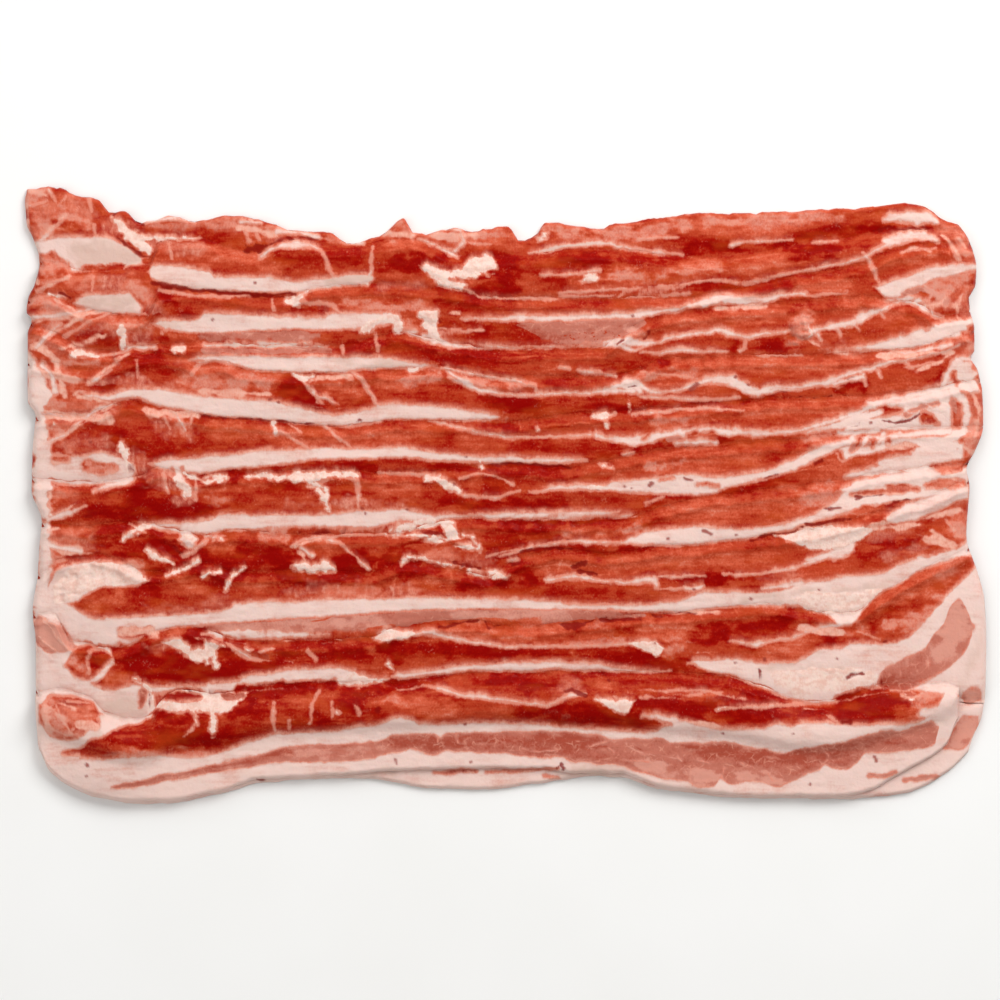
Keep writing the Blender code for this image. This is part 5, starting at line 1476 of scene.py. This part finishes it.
def heights(piece, support, plan, bumps):
    """The raster heights of a slice's lower and upper faces, and where it lies."""
    x = XS[None, :]
    y = YS[:, None]
    share = np.clip((y - piece.back) / (piece.front - piece.back), 0, 1)
    cover = piece.covered(x, y)
    left = x - piece.left(YS)[:, None] - COVERED_INSET * cover
    right = piece.right(YS)[:, None] - x - COVERED_INSET * cover
    inside = np.minimum(np.minimum(y - piece.back, piece.front - y), np.minimum(left, right))
    rim = np.clip(inside / RIM_REACH, 0, 1)
    profile = np.sqrt(1 - (1 - rim) ** 2)
    if piece.number:
        profile = profile * (BACK_LIP + (1 - BACK_LIP) * eased((y - piece.back) / BACK_REACH))
    if piece.number == SLICES - 2:
        profile = profile * (BACK_LIP + (1 - BACK_LIP) * eased((piece.front - y) / BACK_REACH))
    arch = np.sin(math.pi * share)
    full = FULL_THICKNESS + LEAN_CROWN * np.exp(-(((share - LEAN_PLACE) / LEAN_SPREAD) ** 2))
    full = full + END_SWELL * np.exp(-(((x - SWELL_PLACE) / SWELL_REACH) ** 2)) * arch
    full = full + WAVE_HEIGHT * np.sin(x / WAVE_LENGTH + WAVE_SHIFT * piece.number) * arch
    relief = (1 - cover) * (plan.rise * MM + bumps) * np.clip(inside / RELIEF_REACH, 0, 1)
    lying = blurred(swollen(support, DRAPE), DRAPE)
    lower = np.where(lying > TABLE_REACH, lying + SLICE_GAP * np.clip(lying / GAP_REACH, 0, 1), 0)
    if piece.number:
        lower = support + (lower - support) * eased((y - piece.back) / BACK_REACH)
    upper = lower + LEAST_THICKNESS + (full - LEAST_THICKNESS) * profile + relief
    return lower, upper, inside > 0


# The pattern where a slice doesn't show, as shares of its width from the back edge.
HIDDEN_FAT_PLACE, HIDDEN_FAT_HALF_WIDTH = 0.42, 0.07
HIDDEN_PALE_FROM, HIDDEN_PALE_TO = 0.47, 0.74
HIDDEN_RIM_FAT_FROM = 0.72
HIDDEN_SWING, HIDDEN_SWING_LENGTH = 0.02, 41


def anatomy(piece, x, y, share):
    """A slice's fat and pale lean where it doesn't show: a fat band, pale lean, then the rim's fat."""
    width = sample_line(piece.front, x) - sample_line(piece.back, x)
    place = share + HIDDEN_SWING * np.sin(x / HIDDEN_SWING_LENGTH + piece.number)
    fat = np.maximum(HIDDEN_FAT_HALF_WIDTH - np.abs(place - HIDDEN_FAT_PLACE), place - HIDDEN_RIM_FAT_FROM)
    return fat * width, ((place > HIDDEN_PALE_FROM) & (place < HIDDEN_PALE_TO)).astype(float)


def surface_values(piece, plan, x, y, share, hidden):
    """The value of each field at a slice's vertices: as drawn where it shows, by rule elsewhere."""
    fat, pale = anatomy(piece, x, y, share)
    rule = dict.fromkeys(FIELDS, 0.0) | {"fat": fat, "pale": pale}
    return {
        name: sample(getattr(plan, name), x, y) * (1 - hidden) + rule[name] * hidden
        for name in FIELDS
    }


def frame_places(x, y, z):
    """Plan places as frame coordinates, one row each."""
    px = CAD_LOW.x + (x - PLAN_LEFT) * PLAN_UNIT
    py = CAD_HIGH.y - (y - PLAN_BACK) * PLAN_UNIT
    return np.stack([px, py, np.broadcast_to(z, px.shape)], axis=-1).reshape(-1, 3)


def coarse_places(count):
    return np.unique(np.append(np.arange(0, count, COARSE), count - 1))


def slab_faces(rows, columns, coarse_rows, coarse_columns):
    """The faces of the upper face's quads, the lower face's quads and the rim that joins them."""
    upper = np.arange(rows * columns).reshape(rows, columns)
    lower = rows * columns + np.arange(len(coarse_rows) * len(coarse_columns))
    lower = lower.reshape(len(coarse_rows), len(coarse_columns))

    def quads(grid, turned):
        corners = [grid[:-1, :-1], grid[1:, :-1], grid[1:, 1:], grid[:-1, 1:]]
        if turned:
            corners.reverse()
        return np.stack(corners, axis=-1).reshape(-1, 4).tolist()

    faces = quads(upper, False) + quads(lower, True)
    sides = (
        (upper[0, ::-1], lower[0, ::-1], columns - 1 - coarse_columns[::-1]),
        (upper[-1], lower[-1], coarse_columns),
        (upper[:, 0], lower[:, 0], coarse_rows),
        (upper[::-1, -1], lower[::-1, -1], rows - 1 - coarse_rows[::-1]),
    )
    for fine, rough, corners in sides:
        for number, (start, stop) in enumerate(zip(corners, corners[1:])):
            below = [int(rough[number]), int(rough[number + 1])]
            faces.append([*below, *(int(v) for v in fine[start:stop + 1][::-1])])
    return faces


def slice_piece(piece, name, support, plan, bumps):
    """One slice as a closed mesh; returns it and the support with this slice lying on it."""
    lower, upper, inside = heights(piece, support, plan, bumps)
    x, y, share = lattice(piece)
    top = sample(upper, x, y)
    rows, columns = coarse_places(x.shape[0]), coarse_places(x.shape[1])
    rough = np.ix_(rows, columns)
    bottom = sample(lower, x[rough], y[rough])
    places = np.concatenate([frame_places(x, y, top), frame_places(x[rough], y[rough], bottom)])
    mesh = bpy.data.meshes.new(name)
    mesh.from_pydata(places.tolist(), [], slab_faces(*x.shape, rows, columns))
    mesh.update()
    shown = surface_values(piece, plan, x, y, share, piece.covered(x, y))
    under = surface_values(piece, plan, x[rough], y[rough], share[rough], np.ones(x[rough].shape))
    for field in FIELDS:
        values = np.concatenate([shown[field].ravel(), under[field].ravel()]).astype(np.float32)
        mesh.attributes.new(field, "FLOAT", "POINT").data.foreach_set("value", values)
    mesh.shade_smooth()
    result = bpy.data.objects.new(name, mesh)
    bpy.context.scene.collection.objects.link(result)
    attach(result, "root")
    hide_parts(name.replace("_meat", ""))
    return result, np.where(inside, np.maximum(upper, support), support)


# ---------------------------------------------------------------- the materials
def tint(red, green, blue):
    """A colour given as 0 to 255, as the linear values that the shader takes."""
    shares = (v / 255 for v in (red, green, blue))
    return (*(((v + 0.055) / 1.055) ** 2.4 if v > 10 / 255 else v / 12.92 for v in shares), 1)


class Nodes:
    """A material under construction."""

    def __init__(self, name):
        self.material = bpy.data.materials.new(name)
        self.material.use_nodes = True
        self.tree = self.material.node_tree
        self.shader = self.tree.nodes["Principled BSDF"]

    def add(self, kind, inputs, **settings):
        node = self.tree.nodes.new(kind)
        for key, value in settings.items():
            setattr(node, key, value)
        for key, value in inputs.items():
            self.put(node, key, value)
        return node

    def put(self, node, key, value):
        """Links a node's input to another node's output, or gives it a value."""
        if isinstance(value, bpy.types.NodeSocket):
            self.tree.links.new(value, node.inputs[key])
        else:
            node.inputs[key].default_value = value

    def set(self, name, value):
        self.put(self.shader, name, value)

    def math(self, operation, *values):
        return self.add("ShaderNodeMath", dict(enumerate(values)), operation=operation).outputs[0]

    def times(self, first, second):
        return self.math("MULTIPLY", first, second)

    def plus(self, first, second, scale=1.0):
        return self.math("MULTIPLY_ADD", second, scale, first)

    def field(self, name):
        return self.add("ShaderNodeAttribute", {}, attribute_name=name).outputs["Fac"]

    def place(self):
        return self.add("ShaderNodeTexCoord", {}).outputs["Object"]

    def noise(self, size, detail=2.0, stretch=(1, 1, 1), shift=0.0):
        """Noise from -1 to 1 about, with grains of that size in metres."""
        inputs = {"Vector": self.place(), "Scale": stretch, "Location": (shift, shift, 0)}
        scaled = self.add("ShaderNodeMapping", inputs).outputs[0]
        noise = self.add("ShaderNodeTexNoise", {"Vector": scaled, "Scale": 1 / size, "Detail": detail})
        return self.math("MULTIPLY_ADD", noise.outputs["Fac"], 2.0, -1.0)

    def web(self, size, warp, line=0.12):
        """1 on the crooked lines of a net with meshes of that size, 0 inside them."""
        place = self.place()
        swirl = self.add("ShaderNodeTexNoise", {"Vector": place, "Scale": 1 / size, "Detail": 3.0})
        inputs = {0: swirl.outputs["Color"], 1: (warp, warp, 0), 2: place}
        bent = self.add("ShaderNodeVectorMath", inputs, operation="MULTIPLY_ADD").outputs[0]
        inputs = {"Vector": bent, "Scale": 1 / size}
        cells = self.add("ShaderNodeTexVoronoi", inputs, feature="DISTANCE_TO_EDGE")
        return self.between(cells.outputs["Distance"], line, 0.0)

    def between(self, value, low, high):
        """0 below low, 1 above high, smooth between them."""
        inputs = {"Value": value, "From Min": low, "From Max": high}
        return self.add("ShaderNodeMapRange", inputs, interpolation_type="SMOOTHSTEP").outputs[0]

    def mix(self, share, first, second):
        inputs = {0: share, 6: first, 7: second}
        return self.add("ShaderNodeMix", inputs, data_type="RGBA").outputs[2]

    def mixed_value(self, share, first, second):
        return self.add("ShaderNodeMix", {0: share, 2: first, 3: second}).outputs[0]


LEAN_DARKEST = tint(142, 2, 0)
LEAN_DEEP = tint(158, 14, 2)
LEAN_MID = tint(182, 62, 34)
LEAN_BRIGHT = tint(205, 90, 62)
LEAN_SALMON = tint(220, 128, 104)
LEAN_RUSSET = tint(190, 72, 22)
MARBLING = tint(222, 150, 128)
PALE_DEEP = tint(170, 76, 58)
PALE_LEAN = tint(192, 112, 94)
PALE_LEAN_LIGHT = tint(216, 148, 130)
VEIL_PINK = tint(236, 180, 160)
FAT_CREAM = tint(234, 202, 191)
FAT_PINK = tint(216, 152, 134)
FAT_DIM = tint(218, 184, 170)
CHALK_WHITE = tint(238, 208, 195)
CHALK_SHADE = tint(228, 184, 168)
# painted shade: the colour that the gap marks put into the crevices between folds
CREVICE_PAINTED_SHADE = tint(132, 14, 8)
SPECK_DARK = tint(148, 52, 42)
LEAN_ROUGHNESS, FAT_ROUGHNESS = 0.36, 0.46
SHEEN_LEVEL = 0.08
SHEEN_TINT = tint(255, 206, 196)
FLESH_DEPTH = 0.0008            # how far light goes into the meat
FLESH_SHARE = 0.1
FLESH_REDNESS = (1.0, 0.35, 0.2)
BUMP_STRENGTH, BUMP_HEIGHT = 0.35, 0.00015


class Grains:
    """The noises that the parts of the meat share. A stretch below 1 makes a grain longer that way."""

    def __init__(self, n):
        self.ragged = n.plus(n.noise(0.0016, 4), n.noise(0.0006, 3, stretch=(1.2, 0.7, 1), shift=3), 0.8)
        self.combed = n.noise(0.0008, 3, stretch=(1.3, 0.25, 1))
        self.clouds = n.noise(0.0075, 4, stretch=(0.6, 1.3, 1), shift=7)
        self.patches = n.noise(0.0024, 3, stretch=(0.7, 1.2, 1), shift=21)
        self.grain = n.noise(0.0006, 3, stretch=(1, 0.8, 1), shift=27)
        self.streaks = n.noise(0.0016, 3, stretch=(0.16, 1.3, 1), shift=31)


def lean_colour(n, g):
    """Red meat: its tone from the plan with clouds, streaks and grain over it, and fine marbling."""
    tone = n.plus(n.plus(n.plus(n.field("tone"), g.clouds, 0.9), g.patches, 0.9), g.grain, 0.8)
    tone = n.plus(n.plus(tone, g.streaks, 0.75), -0.14)
    lean = n.mix(n.between(tone, -1.7, -0.9), LEAN_DARKEST, LEAN_DEEP)
    lean = n.mix(n.between(tone, -1.1, 0.0), lean, LEAN_MID)
    lean = n.mix(n.between(tone, -0.1, 0.8), lean, LEAN_BRIGHT)
    lean = n.mix(n.between(tone, 0.7, 1.6), lean, LEAN_SALMON)
    russet = n.between(n.noise(0.006, 3, stretch=(0.5, 1.2, 1), shift=41), 0.0, 0.5)
    lean = n.mix(n.times(russet, 0.4), lean, LEAN_RUSSET)
    threads = n.between(n.plus(g.grain, n.noise(0.004, 2, shift=11), 0.7), 0.3, 0.85)
    return n.mix(n.times(threads, 0.22), lean, MARBLING)


def veil_strength(n, g, fat_depth):
    """How much pale tissue lies in the lean: as drawn, and a little near every fat edge."""
    near_fat = n.between(n.plus(fat_depth, n.plus(g.clouds, g.combed, 0.3), 1.6), -3.2, 0.2)
    fibrous = n.plus(n.plus(g.ragged, g.streaks, 0.4), g.combed, 0.5)
    veil = n.times(n.field("veil"), n.plus(0.9, fibrous, 0.4))
    return n.math("MAXIMUM", veil, n.times(near_fat, 0.5))


def pale_colour(n, g, veil):
    """The pale second lean, with a net of fine fat lines."""
    tone = n.plus(n.plus(n.plus(n.field("tone"), g.clouds, 0.7), g.patches, 0.5), g.grain, 0.5)
    pale = n.mix(n.between(tone, -0.9, 0.0), PALE_DEEP, PALE_LEAN)
    pale = n.mix(n.between(tone, 0.1, 1.2), pale, PALE_LEAN_LIGHT)
    webbing = n.times(n.web(0.0028, 0.0035), n.between(n.plus(g.patches, g.streaks, 0.6), -0.2, 0.6))
    pale = n.mix(n.times(webbing, 0.7), pale, MARBLING)
    return n.mix(n.times(n.between(veil, 0.1, 0.8), 0.6), pale, PALE_LEAN_LIGHT)


def fat_colour(n, g, fat_depth):
    """Cream fat with a blush, pinker towards its edges, shaded where dim and whiter where torn."""
    blush = n.between(n.plus(n.noise(0.009, 3, shift=5), n.plus(g.streaks, g.grain, 0.5), 0.6), -0.1, 1.0)
    cream = n.mix(blush, FAT_CREAM, FAT_PINK)
    cream = n.mix(n.times(n.between(fat_depth, 3.4, 0.2), 0.9), cream, FAT_PINK)
    cream = n.mix(n.field("dim"), cream, FAT_DIM)
    torn = n.mix(n.between(n.plus(g.patches, g.ragged, 0.8), -0.6, 0.4), CHALK_SHADE, CHALK_WHITE)
    return n.mix(n.between(n.field("chalk"), 0.3, 0.8), cream, torn)


def with_dark_marks(n, g, colour):
    """The colour with mottles of lean in the fat, specks, and painted shade in the gaps between folds."""
    spots = n.between(n.noise(0.0009, 1, shift=13), 0.2, 0.4)
    colour = n.mix(n.times(n.field("mottle"), spots), colour, LEAN_MID)
    colour = n.mix(n.times(n.field("speck"), 0.85), colour, SPECK_DARK)
    # painted shade in the gaps, as strong as the gap field
    dark = n.between(n.plus(n.field("gap"), g.ragged, 0.3), 0.2, 1.0)
    return n.mix(n.times(dark, 0.9), colour, CREVICE_PAINTED_SHADE)


def meat_material():
    n = Nodes("raw_pork_meat")
    g = Grains(n)
    fat_depth = n.plus(n.plus(n.field("fat"), g.ragged, 1.1), g.combed, 0.35)
    fat = n.between(fat_depth, 0.0, 1.7)
    veil = veil_strength(n, g, fat_depth)
    lean = n.mix(n.times(n.between(veil, 0.03, 0.68), 0.9), lean_colour(n, g), LEAN_SALMON)
    lean = n.mix(n.between(veil, 0.25, 1.05), lean, VEIL_PINK)
    pale = n.between(n.plus(n.field("pale"), g.ragged, 0.3), 0.15, 0.85)
    lean = n.mix(pale, lean, pale_colour(n, g, veil))
    colour = n.mix(fat, lean, fat_colour(n, g, fat_depth))
    relief = n.plus(n.plus(n.noise(0.0009, 3, shift=17), g.grain, 0.6), n.noise(0.0035, 2, shift=19), 1.5)
    inputs = {"Height": relief, "Strength": BUMP_STRENGTH, "Distance": BUMP_HEIGHT}
    n.set("Normal", n.add("ShaderNodeBump", inputs).outputs[0])
    n.set("Base Color", with_dark_marks(n, g, colour))
    n.set("Roughness", n.mixed_value(fat, LEAN_ROUGHNESS, FAT_ROUGHNESS))
    n.set("Specular IOR Level", SHEEN_LEVEL)
    n.set("Specular Tint", SHEEN_TINT)
    n.set("Subsurface Weight", FLESH_SHARE)
    n.set("Subsurface Radius", FLESH_REDNESS)
    n.set("Subsurface Scale", FLESH_DEPTH)
    return n.material


# ---------------------------------------------------------------- the scene
FLOOR_SIZE = 3.0
FLOOR_DEPTH = 0.0001            # just below the table's height, so that no underside lies in the floor
FLOOR_ROUGHNESS = 0.7
FLOOR_GREY, FLOOR_WHITE = tint(244, 243, 240), tint(248, 247, 245)
CAMERA_HEIGHT = 1.6
SENSOR_WIDTH = 36
PHOTO_SPAN = 1000 * PLAN_UNIT
PHOTO_CENTRE = (500, 500)
WORLD_STRENGTH = 0.28
LIGHTS = (                      # name, place, size and power
    ("key", (0.55, 0.6, 0.8), 0.6, 10),
    ("fill", (-0.8, -0.4, 0.8), 0.9, 4),
    ("rear", (-0.3, 0.9, 0.7), 0.8, 4),
)


def floor_material():
    n = Nodes("pale_floor")
    n.set("Base Color", n.mix(n.between(n.noise(0.05, 2), -1, 1), FLOOR_GREY, FLOOR_WHITE))
    n.set("Roughness", FLOOR_ROUGHNESS)
    return n.material


def add_floor():
    mesh = bpy.data.meshes.new("floor")
    half = FLOOR_SIZE / 2
    corners = ((-half, -half), (half, -half), (half, half), (-half, half))
    mesh.from_pydata([(x, y, -FLOOR_DEPTH) for x, y in corners], [], [(0, 1, 2, 3)])
    mesh.materials.append(floor_material())
    floor = bpy.data.objects.new("floor", mesh)
    bpy.context.scene.collection.objects.link(floor)


def add_light(name, place, size, power):
    data = bpy.data.lights.new(name, "AREA")
    data.size = size
    data.energy = power
    light = bpy.data.objects.new(name, data)
    light.location = place
    direction = -light.location
    light.rotation_euler = direction.to_track_quat("-Z", "Y").to_euler()
    bpy.context.scene.collection.objects.link(light)


def add_world():
    world = bpy.data.worlds.new("studio")
    world.use_nodes = True
    world.node_tree.nodes["Background"].inputs["Color"].default_value = (1, 1, 1, 1)
    world.node_tree.nodes["Background"].inputs["Strength"].default_value = WORLD_STRENGTH
    bpy.context.scene.world = world


def add_camera():
    data = bpy.data.cameras.new("camera")
    data.sensor_width = SENSOR_WIDTH
    data.lens = SENSOR_WIDTH * CAMERA_HEIGHT / PHOTO_SPAN
    camera = bpy.data.objects.new("camera", data)
    centre = np.array(PHOTO_CENTRE, float)
    camera.location = frame_places(centre[:1], centre[1:], CAMERA_HEIGHT)[0]
    bpy.context.scene.collection.objects.link(camera)
    bpy.context.scene.camera = camera


def lay_slices(plan):
    """Lays the slices from the back to the front, with the one under the last two before them."""
    bumps = WRINKLE * layered_noise(*WRINKLES)
    support = np.zeros(SHAPE)
    material = meat_material()
    order = list(range(SLICES))
    order.insert(SLICES - 2, SLICES)
    for number in order:
        if number == SLICES:
            piece = Slice(number, UNDER_SLICE_FIRST_ROW, UNDER_FRONT_ROW, FRONT_ROW, UNDER_FRONT_ROW)
        else:
            shown_to = FRONT_ROW if number == SLICES - 1 else number + 1
            piece = Slice(number, number, number + 2, number, shown_to)
        result, support = slice_piece(piece, f"slice_{number + 1:02d}_meat", support, plan, bumps)
        result.data.materials.append(material)


def main():
    bpy.context.scene.view_settings.view_transform = "Standard"
    lay_slices(draw_plan())
    add_floor()
    for light in LIGHTS:
        add_light(*light)
    add_world()
    add_camera()


main()
